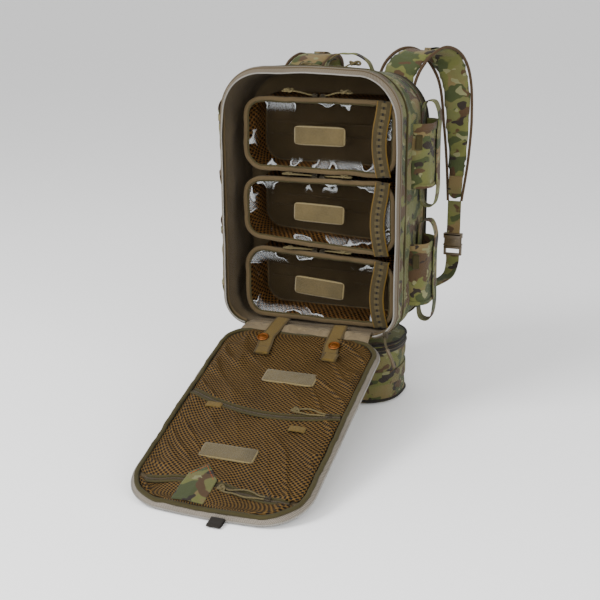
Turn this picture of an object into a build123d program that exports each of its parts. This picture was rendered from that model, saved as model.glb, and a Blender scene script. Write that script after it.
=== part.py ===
from build123d import *

from math import asin, atan2, cos, degrees, hypot, radians, sin, tan
import os

os.makedirs("parts", exist_ok=True)

# ---------------------------------------------------------------- driving dimensions, mm
# The origin is the middle of the lower pouch's flat base, +Z is up and -Y is the open front.

# main bag
BAG_HALF_WIDTH = 161
BAG_BOTTOM = 151
BAG_TOP = 609
FRONT_Y = -137
REAR_Y = 24
REAR_DROP = 21
CROWN = 6
CROWN_RADIUS = 900
TOP_RADIUS = 78
BOTTOM_RADIUS = 50
FABRIC = 3
LINING = 2
BINDING = 2.5
DIVIDER_Y = -9
DIVIDER = 3
TAPE_DEPTH = 10
TAPE = 2
RIM_GAP_HALF = 128
RIM_GAP_TOP = 178

# front panel and the axis it folds on
HINGE_Y = -144.5
HINGE_Z = 148
PANEL_RISE = 7.5
PANEL_START = 10
PANEL_END = 458
PANEL_HALF_WIDTH = 147.5
PANEL_THICKNESS = 10
PANEL_TIP_CROWN = 8
PANEL_TAPE_WIDTH = 8.5
PANEL_TIP_RADIUS = 74

# organiser modules
MODULE_X = 3
MODULE_HALF_WIDTH = 138
MODULE_HEIGHT = 124
MODULE_PITCH = 131
MODULE_BOTTOM = 168
MODULE_FRONT = -113
MODULE_BACK = -12.5
MODULE_RADIUS = 35
MODULE_WALL = 2
LID_DEPTH = 4.2
LID_GAP = 0.3
LID_BORDER = 9
WINDOW = 1
HANDLE_OFFSET = 113
WEBBING = 25

# lower pouch
POUCH_HALF_WIDTH = 133
POUCH_HALF_DEPTH = 78
POUCH_RADIUS = 66
POUCH_HEIGHT = 116
POUCH_LID = 3

# sleeves on the two sides
SLEEVE_FRONT = -75
SLEEVE_BACK = 13
SLEEVE_DEPTH = 30
SLEEVE_HEIGHT = 108
SLEEVE_BOTTOMS = (198, 404)
LOOP_Y = -22
LOOP_RISE = 36
LOOP_DROP = 40

# back of the bag
BACK_PANEL = 6
PAD = 12
STRAP = 10
BUCKLE_Y = 96
BUCKLE_XS = (198, -104)

# cords
PULL_CORD = 2.6
MAIN_CORD = 4
SLIDER = (10, 8, 4.4)

# ---------------------------------------------------------------- worked-out values
TIP_DEPTH = PANEL_RISE - PANEL_THICKNESS
TIP_REACH = hypot(PANEL_END, TIP_DEPTH)
SLOPE = asin(HINGE_Z / TIP_REACH) + atan2(TIP_DEPTH, PANEL_END)
PANEL_AXIS = Vector(0, HINGE_Y, HINGE_Z)
PANEL_INWARD = Vector(0, -sin(SLOPE), cos(SLOPE))
PANEL_PLANE = Plane(
    origin=PANEL_AXIS + PANEL_INWARD * PANEL_RISE, x_dir=(1, 0, 0), z_dir=PANEL_INWARD
)
MODULE_BOTTOMS = [MODULE_BOTTOM + MODULE_PITCH * step for step in (2, 1, 0)]


# ---------------------------------------------------------------- helpers
def facing(y):
    """Plane at depth y that looks forwards, with X to the right and Z up."""
    return Plane(origin=(0, y, 0), x_dir=(1, 0, 0), z_dir=(0, -1, 0))


def bag_top(y):
    """Height of the bag's crown at depth y: the top slopes down to the rear."""
    return BAG_TOP - REAR_DROP * (y - FRONT_Y) / (REAR_Y - FRONT_Y)


def bag_outline(inset, y, mode=Mode.ADD):
    """Face of the bag's cross-section at depth y, moved inwards by inset."""
    half = BAG_HALF_WIDTH - inset
    bottom = BAG_BOTTOM + inset
    top = bag_top(y) - inset
    with BuildLine() as edge:
        FilletPolyline(
            (-half, bottom),
            (half, bottom),
            (half, top - CROWN),
            (0, top),
            (-half, top - CROWN),
            radius=[
                BOTTOM_RADIUS - inset,
                BOTTOM_RADIUS - inset,
                TOP_RADIUS - inset,
                CROWN_RADIUS,
                TOP_RADIUS - inset,
            ],
            close=True,
        )
    make_face(edge.edges(), mode=mode)


def bag_tube(inset, front, rear, mode=Mode.ADD):
    """Solid between the bag's cross-sections at the depths front and rear."""
    with BuildSketch(facing(rear)) as rear_face:
        bag_outline(inset, rear)
    with BuildSketch(facing(front)) as front_face:
        bag_outline(inset, front)
    loft(sections=[rear_face.sketch, front_face.sketch], ruled=True, mode=mode)


def panel_plane(height):
    """Plane parallel to the front panel, height inwards of its rim plane."""
    return PANEL_PLANE.offset(height)


def panel_outline(inset, mode=Mode.ADD):
    """Face of the front panel's outline, moved inwards by inset."""
    half = PANEL_HALF_WIDTH - inset
    start = -PANEL_START - inset
    end = -PANEL_END + inset
    with BuildLine() as edge:
        FilletPolyline(
            (-half, start),
            (half, start),
            (half, end + PANEL_TIP_CROWN),
            (0, end),
            (-half, end + PANEL_TIP_CROWN),
            radius=[
                BOTTOM_RADIUS - inset,
                BOTTOM_RADIUS - inset,
                PANEL_TIP_RADIUS - inset,
                CROWN_RADIUS,
                PANEL_TIP_RADIUS - inset,
            ],
            close=True,
        )
    make_face(edge.edges(), mode=mode)


def on_panel(x, along, height):
    """Point x across the front panel, along it from its axis, height inwards of its rim plane."""
    return PANEL_PLANE.from_local_coords(Vector(x, -along, height))


def module_outline(bottom, inset, mode=Mode.ADD):
    """Rounded front outline of the module that stands at bottom, moved inwards by inset."""
    with Locations((MODULE_X, bottom + MODULE_HEIGHT / 2)):
        RectangleRounded(
            2 * (MODULE_HALF_WIDTH - inset),
            MODULE_HEIGHT - 2 * inset,
            MODULE_RADIUS - inset,
            mode=mode,
        )


def ribbon(route, widths, thickness, across):
    """Flat band through the points of route, with its width along the direction across."""
    points = [Vector(*point) for point in route]
    across = Vector(*across).normalized()
    sections = []
    for index, (point, width) in enumerate(zip(points, widths)):
        before = points[max(index - 1, 0)]
        after = points[min(index + 1, len(points) - 1)]
        heading = (after - before).normalized()
        heading = (heading - across * heading.dot(across)).normalized()
        with BuildSketch(Plane(origin=point, x_dir=across, z_dir=heading)) as section:
            Rectangle(width, thickness)
        sections.append(section.sketch)
    loft(sections=sections, ruled=True)


def cord_radii(points):
    """Arc radius at each inner point of a cord's route."""
    radii = []
    for before, corner, after in zip(points, points[1:], points[2:]):
        first = corner - before
        second = after - corner
        turn = radians(first.get_angle(second))
        radii.append(0.45 * min(first.length, second.length) / tan(turn / 2))
    return radii


def cord_tube(name, route, diameter):
    """Write the plain tube of one cord along its route and print its arcs and its volume."""
    points = [Vector(*point) for point in route]
    radii = cord_radii(points)
    with BuildPart() as cord:
        with BuildLine() as line:
            FilletPolyline(*points, radius=radii)
        with BuildSketch(Plane(origin=points[0], z_dir=points[1] - points[0])) as section:
            Circle(diameter / 2)
        sweep()
    length = sum(edge.length for edge in line.edges())
    ratio = cord.part.volume / (section.sketch.area * length)
    print(name, "length", round(length, 1), "volume ratio", round(ratio, 3))
    print("   arc radii", [round(radius, 1) for radius in radii])
    cord.part.label = name
    export_step(cord.part, f"parts/{name}.step")


# ---------------------------------------------------------------- main bag
with BuildPart() as main_shell:
    bag_tube(0, FRONT_Y, REAR_Y)
    bag_tube(FABRIC, FRONT_Y, REAR_Y, mode=Mode.SUBTRACT)
main_shell.part.label = "main_shell"
export_step(main_shell.part, "parts/main_shell.step")

# The lining is a cup: its side wall and the divider at its back.
with BuildPart() as shell_lining:
    bag_tube(FABRIC, FRONT_Y + 4, DIVIDER_Y)
    bag_tube(FABRIC + LINING, FRONT_Y + 4, DIVIDER_Y - DIVIDER, mode=Mode.SUBTRACT)
shell_lining.part.label = "shell_lining"
export_step(shell_lining.part, "parts/shell_lining.step")

# Zip tape that stands forward of the rim, and the piping bead inside it, both open at the hinge.
with BuildPart() as rim_tape:
    with BuildSketch(facing(FRONT_Y)):
        bag_outline(0, FRONT_Y)
        bag_outline(TAPE, FRONT_Y, mode=Mode.SUBTRACT)
        with Locations((0, BAG_BOTTOM)):
            Rectangle(2 * RIM_GAP_HALF, 2 * (RIM_GAP_TOP - BAG_BOTTOM), mode=Mode.SUBTRACT)
    extrude(amount=TAPE_DEPTH)
    with BuildSketch(facing(FRONT_Y + 4)):
        bag_outline(FABRIC, FRONT_Y + 4)
        bag_outline(FABRIC + BINDING, FRONT_Y + 4, mode=Mode.SUBTRACT)
        with Locations((0, BAG_BOTTOM)):
            Rectangle(2 * RIM_GAP_HALF, 2 * (RIM_GAP_TOP - BAG_BOTTOM), mode=Mode.SUBTRACT)
    extrude(amount=4)
rim_tape.part.label = "rim_tape"
export_step(rim_tape.part, "parts/rim_tape.step")

SHEET_Y = DIVIDER_Y + 2.2
with BuildPart() as frame_sheet:
    with BuildSketch(facing(SHEET_Y)):
        bag_outline(14, REAR_Y)
    extrude(amount=2)
frame_sheet.part.label = "frame_sheet"
export_step(frame_sheet.part, "parts/frame_sheet.step")

with BuildPart() as frame_stays:
    with BuildSketch(facing(SHEET_Y + 2.6)):
        with Locations((-70, 370), (70, 370)):
            RectangleRounded(WEBBING, 370, 6)
    extrude(amount=2.5)
frame_stays.part.label = "frame_stays"
export_step(frame_stays.part, "parts/frame_stays.step")

with BuildPart() as back_panel:
    with BuildSketch(facing(REAR_Y + BACK_PANEL)):
        bag_outline(0, REAR_Y)
    extrude(amount=BACK_PANEL)
back_panel.part.label = "back_panel"
export_step(back_panel.part, "parts/back_panel.step")

# Two tall pads for the shoulder blades and a wide one for the small of the back.
PAD_PLANE = facing(REAR_Y + BACK_PANEL + PAD)
with BuildPart() as back_pads:
    with BuildSketch(PAD_PLANE):
        with Locations((-66, 402), (66, 402)):
            RectangleRounded(96, 190, 22)
        with Locations((0, 234)):
            RectangleRounded(236, 112, 26)
    extrude(amount=PAD)
    fillet(back_pads.faces().sort_by(Axis.Y)[-1].edges(), radius=4)
back_pads.part.label = "back_pads"
export_step(back_pads.part, "parts/back_pads.step")

# Zip of the rear compartment: a strip laid over the shell, from one side over the top to the other.
REAR_ZIP_FRONT = -5
REAR_ZIP_REAR = 7
REAR_ZIP = 1.2
REAR_ZIP_LOW = 516
with BuildPart() as rear_zip:
    bag_tube(-REAR_ZIP, REAR_ZIP_FRONT, REAR_ZIP_REAR)
    bag_tube(0, REAR_ZIP_FRONT, REAR_ZIP_REAR, mode=Mode.SUBTRACT)
    with BuildSketch(Plane.XY):
        Rectangle(2.2 * BAG_HALF_WIDTH, 60)
    extrude(amount=REAR_ZIP_LOW, mode=Mode.SUBTRACT)
rear_zip.part.label = "rear_zip"
export_step(rear_zip.part, "parts/rear_zip.step")

# The fold of cloth that the front panel turns on.
with BuildPart() as hinge_gusset:
    with BuildSketch(Plane(origin=(-112, 0, 0), x_dir=(0, 1, 0), z_dir=(1, 0, 0))):
        with Locations((HINGE_Y, HINGE_Z)):
            Circle(4)
        with Locations(((HINGE_Y + FRONT_Y) / 2, HINGE_Z + 2.6)):
            Rectangle(FRONT_Y - HINGE_Y, 2.4)
    extrude(amount=224)
hinge_gusset.part.label = "hinge_gusset"
export_step(hinge_gusset.part, "parts/hinge_gusset.step")

# Haul handle at the top of the rear edge.
HANDLE_Y = 28
HANDLE_WIDTH = 18
HANDLE_FOOT = bag_top(HANDLE_Y - HANDLE_WIDTH)
with BuildPart() as grab_handle:
    with BuildSketch(facing(HANDLE_Y)):
        with BuildLine():
            FilletPolyline(
                (-26, HANDLE_FOOT),
                (-20, HANDLE_FOOT + 14),
                (0, HANDLE_FOOT + 27),
                (30, HANDLE_FOOT + 28),
                (53, HANDLE_FOOT + 16),
                (62, HANDLE_FOOT - 1),
                radius=[14, 30, 34, 24],
            )
        trace(line_width=2)
        with Locations((18, HANDLE_FOOT - 11)):
            Rectangle(120, 22, mode=Mode.SUBTRACT)
    extrude(amount=HANDLE_WIDTH)
grab_handle.part.label = "grab_handle"
export_step(grab_handle.part, "parts/grab_handle.step")

# ---------------------------------------------------------------- lower pouch
with BuildPart() as pouch_body:
    with BuildSketch():
        RectangleRounded(2 * POUCH_HALF_WIDTH, 2 * POUCH_HALF_DEPTH, POUCH_RADIUS)
    extrude(amount=POUCH_HEIGHT - POUCH_LID)
    offset(amount=-FABRIC, openings=pouch_body.faces().sort_by(Axis.Z)[-1])
pouch_body.part.label = "pouch_body"
export_step(pouch_body.part, "parts/pouch_body.step")

# The lid carries the collar of cloth that the pouch hangs by, under the bag.
with BuildPart() as pouch_lid:
    with BuildSketch(Plane.XY.offset(POUCH_HEIGHT - POUCH_LID)):
        RectangleRounded(2 * POUCH_HALF_WIDTH, 2 * POUCH_HALF_DEPTH, POUCH_RADIUS)
    extrude(amount=POUCH_LID)
    with BuildSketch(Plane.XY.offset(POUCH_HEIGHT)):
        with Locations((0, -14)):
            RectangleRounded(196, 78, 28)
            RectangleRounded(190, 72, 25, mode=Mode.SUBTRACT)
    extrude(amount=BAG_BOTTOM - POUCH_HEIGHT)
pouch_lid.part.label = "pouch_lid"
export_step(pouch_lid.part, "parts/pouch_lid.step")

# Belt of webbing sewn round the pouch.
with BuildPart() as pouch_webbing:
    with BuildSketch(Plane.XY.offset(36)):
        RectangleRounded(
            2 * POUCH_HALF_WIDTH + 4, 2 * POUCH_HALF_DEPTH + 4, POUCH_RADIUS + 2
        )
        RectangleRounded(
            2 * POUCH_HALF_WIDTH, 2 * POUCH_HALF_DEPTH, POUCH_RADIUS, mode=Mode.SUBTRACT
        )
    extrude(amount=WEBBING)
pouch_webbing.part.label = "pouch_webbing"
export_step(pouch_webbing.part, "parts/pouch_webbing.step")

# ---------------------------------------------------------------- sleeves and their loops
with BuildPart() as side_sleeves:
    for bottom in SLEEVE_BOTTOMS:
        with BuildSketch(Plane.XY.offset(bottom)):
            for wall, join in ((0, Mode.ADD), (2, Mode.SUBTRACT)):
                inner = BAG_HALF_WIDTH + wall
                outer = BAG_HALF_WIDTH + SLEEVE_DEPTH - wall
                with BuildLine():
                    FilletPolyline(
                        (inner, SLEEVE_FRONT + wall),
                        (outer, SLEEVE_FRONT + wall),
                        (outer, SLEEVE_BACK - wall),
                        (inner, SLEEVE_BACK - wall),
                        radius=[26 - wall, 26 - wall],
                    )
                    Line((inner, SLEEVE_BACK - wall), (inner, SLEEVE_FRONT + wall))
                make_face(mode=join)
        extrude(amount=SLEEVE_HEIGHT)
    mirror(about=Plane.YZ)
side_sleeves.part.label = "side_sleeves"
export_step(side_sleeves.part, "parts/side_sleeves.step")

# Each loop of webbing runs up inside a sleeve, over its top, down its outside and back under it.
LOOP_INNER = BAG_HALF_WIDTH + 3.5
LOOP_OUTER = BAG_HALF_WIDTH + SLEEVE_DEPTH + 3.5
LOOP_HEIGHT = SLEEVE_HEIGHT + LOOP_RISE + LOOP_DROP
with BuildPart() as side_loops:
    with BuildSketch(facing(LOOP_Y + WEBBING / 2)):
        for bottom in SLEEVE_BOTTOMS:
            middle = bottom - LOOP_DROP + LOOP_HEIGHT / 2
            with Locations(((LOOP_INNER + LOOP_OUTER) / 2, middle)):
                RectangleRounded(LOOP_OUTER - LOOP_INNER, LOOP_HEIGHT, 14.9)
                RectangleRounded(
                    LOOP_OUTER - LOOP_INNER - 4, LOOP_HEIGHT - 4, 12.9, mode=Mode.SUBTRACT
                )
    extrude(amount=WEBBING)
    mirror(about=Plane.YZ)
side_loops.part.label = "side_loops"
export_step(side_loops.part, "parts/side_loops.step")

# ---------------------------------------------------------------- shoulder straps and buckles
RIGHT_STRAP = [
    (95, 37, 528),
    (98, 38, 562),
    (106, 52, 594),
    (122, 76, 615),
    (148, 100, 618),
    (172, 118, 599),
    (186, 124, 560),
    (193, 122, 490),
    (197, 112, 420),
    (198, 98, 352),
]
LEFT_STRAP = [
    (-88, 37, 528),
    (-86, 38, 562),
    (-78, 52, 592),
    (-66, 78, 608),
    (-58, 104, 604),
    (-60, 123, 580),
    (-70, 131, 540),
    (-84, 128, 470),
    (-96, 115, 405),
    (-104, 98, 352),
]
STRAP_WIDTHS = [66, 70, 70, 68, 66, 64, 60, 54, 42, 28]
with BuildPart() as shoulder_strap_right:
    ribbon(RIGHT_STRAP, STRAP_WIDTHS, STRAP, (1, 0, 0))
shoulder_strap_right.part.label = "shoulder_strap_right"
export_step(shoulder_strap_right.part, "parts/shoulder_strap_right.step")

with BuildPart() as shoulder_strap_left:
    ribbon(LEFT_STRAP, STRAP_WIDTHS, STRAP, (1, 0, 0))
shoulder_strap_left.part.label = "shoulder_strap_left"
export_step(shoulder_strap_left.part, "parts/shoulder_strap_left.step")

# Buckle sizes along Z: the socket is above, the plug's prongs stand up inside it.
SOCKET_BOTTOM = 268
SOCKET_TOP = 292
PLUG_BOTTOM = 250
PLUG_TRAVEL = 18
RIGHT_LOWER = [(198, 96, 230), (193, 86, 212), (176, 62, 202), (154, 37, 197)]
LEFT_LOWER = [(-104, 96, 230), (-110, 84, 212), (-126, 62, 202), (-146, 37, 197)]
with BuildPart() as strap_webbing:
    for x, lower, across in (
        (BUCKLE_XS[0], RIGHT_LOWER, (0.9, -0.44, 0)),
        (BUCKLE_XS[1], LEFT_LOWER, (0.9, 0.44, 0)),
    ):
        with BuildSketch(Plane(origin=(x, BUCKLE_Y + 1, SOCKET_TOP))):
            Rectangle(WEBBING, 2)
        extrude(amount=60)
        ribbon(lower, [WEBBING] * 4, 2, across)
strap_webbing.part.label = "strap_webbing"
export_step(strap_webbing.part, "parts/strap_webbing.step")

with BuildPart() as buckle_sockets:
    for x in BUCKLE_XS:
        with BuildSketch(Plane(origin=(x, BUCKLE_Y, SOCKET_BOTTOM))):
            RectangleRounded(35, 12, 4)
        extrude(amount=SOCKET_TOP - SOCKET_BOTTOM)
        with BuildSketch(Plane(origin=(x, BUCKLE_Y, SOCKET_BOTTOM))):
            Rectangle(28, 6.4)
        extrude(amount=20, mode=Mode.SUBTRACT)
buckle_sockets.part.label = "buckle_sockets"
export_step(buckle_sockets.part, "parts/buckle_sockets.step")

for x, name in zip(BUCKLE_XS, ("buckle_plug_right", "buckle_plug_left")):
    with BuildPart() as buckle_plug:
        with BuildSketch(Plane(origin=(x, BUCKLE_Y, PLUG_BOTTOM))):
            RectangleRounded(34, 10, 3)
        extrude(amount=SOCKET_BOTTOM - 0.3 - PLUG_BOTTOM)
        with BuildSketch(Plane(origin=(x, BUCKLE_Y, SOCKET_BOTTOM - 0.3))):
            with GridLocations(9.6, 0, 3, 1):
                Rectangle(6, 5.4)
        extrude(amount=18)
    buckle_plug.part.label = name
    export_step(buckle_plug.part, f"parts/{name}.step")

# ---------------------------------------------------------------- front panel
TRAY_INSET = PANEL_TAPE_WIDTH
with BuildPart() as front_panel:
    with BuildSketch(panel_plane(-PANEL_THICKNESS)):
        panel_outline(TRAY_INSET)
    extrude(amount=PANEL_THICKNESS)
    with BuildSketch(panel_plane(0)):
        panel_outline(TRAY_INSET + 2)
    extrude(amount=-(PANEL_THICKNESS - 2), mode=Mode.SUBTRACT)
front_panel.part.label = "front_panel"
export_step(front_panel.part, "parts/front_panel.step")

with BuildPart() as panel_lining:
    with BuildSketch(panel_plane(-PANEL_THICKNESS + 2)):
        panel_outline(TRAY_INSET + 2)
    extrude(amount=PANEL_THICKNESS - 4.8)
panel_lining.part.label = "panel_lining"
export_step(panel_lining.part, "parts/panel_lining.step")

# Zip tape round the panel and the binding that covers its seam.
with BuildPart() as panel_tape:
    with BuildSketch(panel_plane(-3)):
        panel_outline(0)
        panel_outline(TRAY_INSET, mode=Mode.SUBTRACT)
    extrude(amount=2)
    with BuildSketch(panel_plane(0)):
        panel_outline(TRAY_INSET)
        panel_outline(TRAY_INSET + 5, mode=Mode.SUBTRACT)
    extrude(amount=3)
panel_tape.part.label = "panel_tape"
export_step(panel_tape.part, "parts/panel_tape.step")

POCKET_FLOOR = -2.8
POCKET_HEIGHT = 7.8
POCKET_SKIN = 1.5
POCKET_INSET = TRAY_INSET + 6
UPPER_ZIP = 218
LOWER_ZIP = 410
ZIP_HALF = 4


def pocket_face(first, last, inset):
    """Part of the panel's outline between two distances along it."""
    middle = -(first + last) / 2
    panel_outline(POCKET_INSET + inset)
    with Locations((0, middle)):
        Rectangle(2 * PANEL_HALF_WIDTH, last - first - 2 * inset, mode=Mode.INTERSECT)


def mesh_pocket(first, last):
    """Shallow hollow cover of mesh over the panel between two distances along it."""
    with BuildSketch(panel_plane(POCKET_FLOOR)) as outside:
        pocket_face(first, last, 0)
    extrude(outside.sketch, amount=POCKET_HEIGHT)
    with BuildSketch(panel_plane(POCKET_FLOOR)) as inside:
        pocket_face(first, last, POCKET_SKIN)
    extrude(inside.sketch, amount=POCKET_HEIGHT - POCKET_SKIN, mode=Mode.SUBTRACT)


with BuildPart() as mesh_pocket_upper:
    mesh_pocket(PANEL_START + 12, UPPER_ZIP - ZIP_HALF)
mesh_pocket_upper.part.label = "mesh_pocket_upper"
export_step(mesh_pocket_upper.part, "parts/mesh_pocket_upper.step")

with BuildPart() as mesh_pocket_lower:
    mesh_pocket(UPPER_ZIP + ZIP_HALF, LOWER_ZIP - ZIP_HALF)
    mesh_pocket(LOWER_ZIP + ZIP_HALF, PANEL_END)
mesh_pocket_lower.part.label = "mesh_pocket_lower"
export_step(mesh_pocket_lower.part, "parts/mesh_pocket_lower.step")

with BuildPart() as pocket_zips:
    with BuildSketch(panel_plane(POCKET_FLOOR)):
        with Locations((0, -UPPER_ZIP)):
            Rectangle(256, 2 * ZIP_HALF - 0.6)
        with Locations((0, -LOWER_ZIP)):
            Rectangle(246, 2 * ZIP_HALF - 0.6)
    extrude(amount=6)
pocket_zips.part.label = "pocket_zips"
export_step(pocket_zips.part, "parts/pocket_zips.step")

# Hook-and-loop label patches, two webbing stubs and the folded tab near the tip.
POCKET_TOP = POCKET_FLOOR + POCKET_HEIGHT
with BuildPart() as panel_trims:
    with BuildSketch(panel_plane(POCKET_TOP)):
        with Locations((17, -138), (-11, -330)):
            RectangleRounded(92, 33, 3)
    extrude(amount=1.6)
    with BuildSketch(panel_plane(POCKET_TOP)):
        with Locations((-79, -231), (75, -258)):
            Rectangle(26, 12)
    extrude(amount=3)
    with BuildSketch(panel_plane(POCKET_TOP)):
        with BuildLine():
            Polyline((-30, -362), (-3, -396), (-4, -446), (-55, -446), (-52, -387), close=True)
        make_face()
    extrude(amount=4)
panel_trims.part.label = "panel_trims"
export_step(panel_trims.part, "parts/panel_trims.step")

# Two straps of webbing by the hinge, each closed by a press stud.
SNAP_XS = (-66, 66)
SNAP_ALONG = 46
with BuildPart() as snap_straps:
    with BuildSketch(panel_plane(POCKET_TOP)):
        with Locations((SNAP_XS[0], -54), (SNAP_XS[1], -54)):
            Rectangle(WEBBING, 72)
    extrude(amount=2.4)
    with BuildSketch(panel_plane(POCKET_TOP + 2.4)):
        with Locations((SNAP_XS[0], -SNAP_ALONG), (SNAP_XS[1], -SNAP_ALONG)):
            Circle(6)
    extrude(amount=2)
snap_straps.part.label = "snap_straps"
export_step(snap_straps.part, "parts/snap_straps.step")

# ---------------------------------------------------------------- organiser modules
LID_BACK = MODULE_FRONT + LID_DEPTH
for number, bottom in enumerate(MODULE_BOTTOMS, start=1):
    # Open box of mesh with a cloth back.
    with BuildPart() as module_shell:
        with BuildSketch(facing(MODULE_BACK)):
            module_outline(bottom, 0)
        extrude(amount=MODULE_BACK - LID_BACK - LID_GAP)
        with BuildSketch(facing(MODULE_BACK - MODULE_WALL)):
            module_outline(bottom, MODULE_WALL)
        extrude(amount=MODULE_BACK - MODULE_WALL - LID_BACK, mode=Mode.SUBTRACT)
    module_shell.part.label = f"module_shell_{number}"
    export_step(module_shell.part, f"parts/module_shell_{number}.step")

    with BuildPart() as module_window:
        with BuildSketch(facing(LID_BACK - 1)):
            module_outline(bottom, LID_BORDER)
        extrude(amount=WINDOW)
    module_window.part.label = f"module_window_{number}"
    export_step(module_window.part, f"parts/module_window_{number}.step")

    # Piped border of the lid, the ladder of webbing down it and the patch on the window.
    with BuildPart() as module_frame:
        with BuildSketch(facing(LID_BACK)):
            module_outline(bottom, 0)
            module_outline(bottom, LID_BORDER, mode=Mode.SUBTRACT)
        extrude(amount=LID_DEPTH)
        with BuildSketch(facing(MODULE_FRONT)):
            with Locations((MODULE_X + HANDLE_OFFSET, bottom + MODULE_HEIGHT / 2)):
                Rectangle(WEBBING + 3, MODULE_HEIGHT - 10)
        extrude(amount=2.4)
        with BuildSketch(facing(LID_BACK - 1 - WINDOW)):
            with Locations((MODULE_X + 2, bottom + MODULE_HEIGHT / 2)):
                RectangleRounded(92, 33, 3)
        extrude(amount=1.4)
    module_frame.part.label = f"module_frame_{number}"
    export_step(module_frame.part, f"parts/module_frame_{number}.step")


# ---------------------------------------------------------------- zip sliders and their cords
def slider(name, plane):
    """Write a zip slider that stands on plane, its length along the plane's X."""
    with BuildPart() as body:
        with BuildSketch(plane):
            RectangleRounded(SLIDER[0], SLIDER[1], 1.5)
        extrude(amount=SLIDER[2])
    body.part.label = name
    export_step(body.part, f"parts/{name}.step")


# Routes of the looped pulls: away from the slider's end face, forwards, and up from its base.
MODULE_PULL = [
    (0, 2.2, 3.0),
    (8, 2.2, 3.0),
    (19, 10.5, 3.6),
    (32, 14.5, 4.0),
    (43, 15.0, 3.4),
    (50, 12.0, 3.2),
    (50.5, 6.5, 3.3),
    (44, 3.5, 3.0),
    (32, 4.4, 3.5),
    (20, 1.5, 3.2),
    (9, -2.2, 3.0),
    (0, -2.2, 3.0),
]
SLIDER_Y = LID_BACK + LID_GAP + 1 + SLIDER[1] / 2
for number, bottom in enumerate(MODULE_BOTTOMS, start=1):
    top = bottom + MODULE_HEIGHT
    for side, sign in (("left", -1), ("right", 1)):
        x = MODULE_X + sign * 7
        slider(f"slider_{number}_{side}", Plane(origin=(x, SLIDER_Y, top + 0.2)))
        end = x + sign * SLIDER[0] / 2
        cord_tube(
            f"pull_{number}_{side}",
            [(end + sign * out, SLIDER_Y - ahead, top + up) for out, ahead, up in MODULE_PULL],
            PULL_CORD,
        )

# The two pockets on the front panel: away from the slider's end face, along the panel, and up.
UPPER_PULL = [
    (0, -2.2, 3.0),
    (9, -2.2, 3.0),
    (20, -6.5, 4.0),
    (33, -7.5, 4.4),
    (45, -3.2, 4.3),
    (54, -3.8, 4.2),
    (58, 0.5, 4.3),
    (53, 4.4, 4.4),
    (42, 3.6, 4.5),
    (28, 6.2, 4.4),
    (12, 2.2, 3.0),
    (0, 2.2, 3.0),
]
LOWER_PULL = [
    (0, -2.2, 3.0),
    (9, -2.2, 3.0),
    (20, -7.0, 4.0),
    (33, -8.5, 4.6),
    (46, -5.0, 4.8),
    (57, -1.5, 4.6),
    (67, -7.0, 4.4),
    (74, -8.0, 4.3),
    (76, -3.5, 4.5),
    (70, 0.5, 4.8),
    (60, 3.2, 4.7),
    (46, 2.0, 4.4),
    (30, 6.0, 3.9),
    (13, 2.2, 3.0),
    (0, 2.2, 3.0),
]
ZIP_TOP = POCKET_FLOOR + 6.2
for name, x, along, route in (
    ("upper", 113, UPPER_ZIP, UPPER_PULL),
    ("lower", 85, LOWER_ZIP, LOWER_PULL),
):
    foot = on_panel(x, along, ZIP_TOP)
    slider(f"pocket_slider_{name}", Plane(origin=foot, x_dir=(1, 0, 0), z_dir=PANEL_INWARD))
    cord_tube(
        f"pocket_pull_{name}",
        [
            on_panel(x - SLIDER[0] / 2 - out, along + down, ZIP_TOP + up)
            for out, down, up in route
        ],
        PULL_CORD,
    )

# The main zip's slider waits at the lower right corner of the rim, with its pull hanging.
CORNER_X = BAG_HALF_WIDTH - BOTTOM_RADIUS
CORNER_Z = BAG_BOTTOM + BOTTOM_RADIUS
MAIN_ANGLE = radians(-50)
MAIN_X = CORNER_X + (BOTTOM_RADIUS - 1) * cos(MAIN_ANGLE)
MAIN_Z = CORNER_Z + (BOTTOM_RADIUS - 1) * sin(MAIN_ANGLE)
MAIN_Y = FRONT_Y - TAPE_DEPTH - 0.3
with BuildPart() as main_slider:
    with BuildSketch(facing(MAIN_Y)):
        with Locations((MAIN_X, MAIN_Z)):
            RectangleRounded(11, 11, 2)
    extrude(amount=6)
main_slider.part.label = "main_slider"
export_step(main_slider.part, "parts/main_slider.step")

MAIN_PULL = [(0, 0, 0), (0, 0, -9), (5, -1.4, -21), (12, -1.8, -34), (16, -0.4, -48)]
cord_tube(
    "main_pull",
    [(MAIN_X + x, MAIN_Y - 3 + y, MAIN_Z - 5.5 + z) for x, y, z in MAIN_PULL],
    MAIN_CORD,
)

# The rear compartment's two sliders meet at the top.
REAR_PULLS = {
    "left": [
        (0, 2.2, 2.2),
        (9, 2.2, 2.2),
        (21, 4.4, 2.0),
        (34, 4.0, 1.6),
        (43, 2.9, 1.4),
        (47, -1.2, 1.3),
        (41, -4.2, 1.5),
        (28, -3.0, 2.0),
        (12, -2.2, 2.2),
        (0, -2.2, 2.2),
    ],
    "right": [
        (0, 2.2, 2.2),
        (7, 2.2, 2.2),
        (17, 4.2, 4.6),
        (26, 3.2, 5.6),
        (30, -0.6, 5.8),
        (25, -4.0, 5.2),
        (15, -3.4, 4.0),
        (6, -2.2, 2.2),
        (0, -2.2, 2.2),
    ],
}
REAR_SLIDER_Y = 1
REAR_SLIDER_Z = bag_top(REAR_SLIDER_Y - SLIDER[1] / 2) + REAR_ZIP + 0.2
for side, sign, x in (("left", -1, -9), ("right", 1, 4)):
    slider(f"rear_slider_{side}", Plane(origin=(x, REAR_SLIDER_Y, REAR_SLIDER_Z)))
    end = x + sign * SLIDER[0] / 2
    cord_tube(
        f"rear_pull_{side}",
        [
            (end + sign * out, REAR_SLIDER_Y - ahead, REAR_SLIDER_Z + up)
            for out, ahead, up in REAR_PULLS[side]
        ],
        PULL_CORD,
    )

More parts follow.
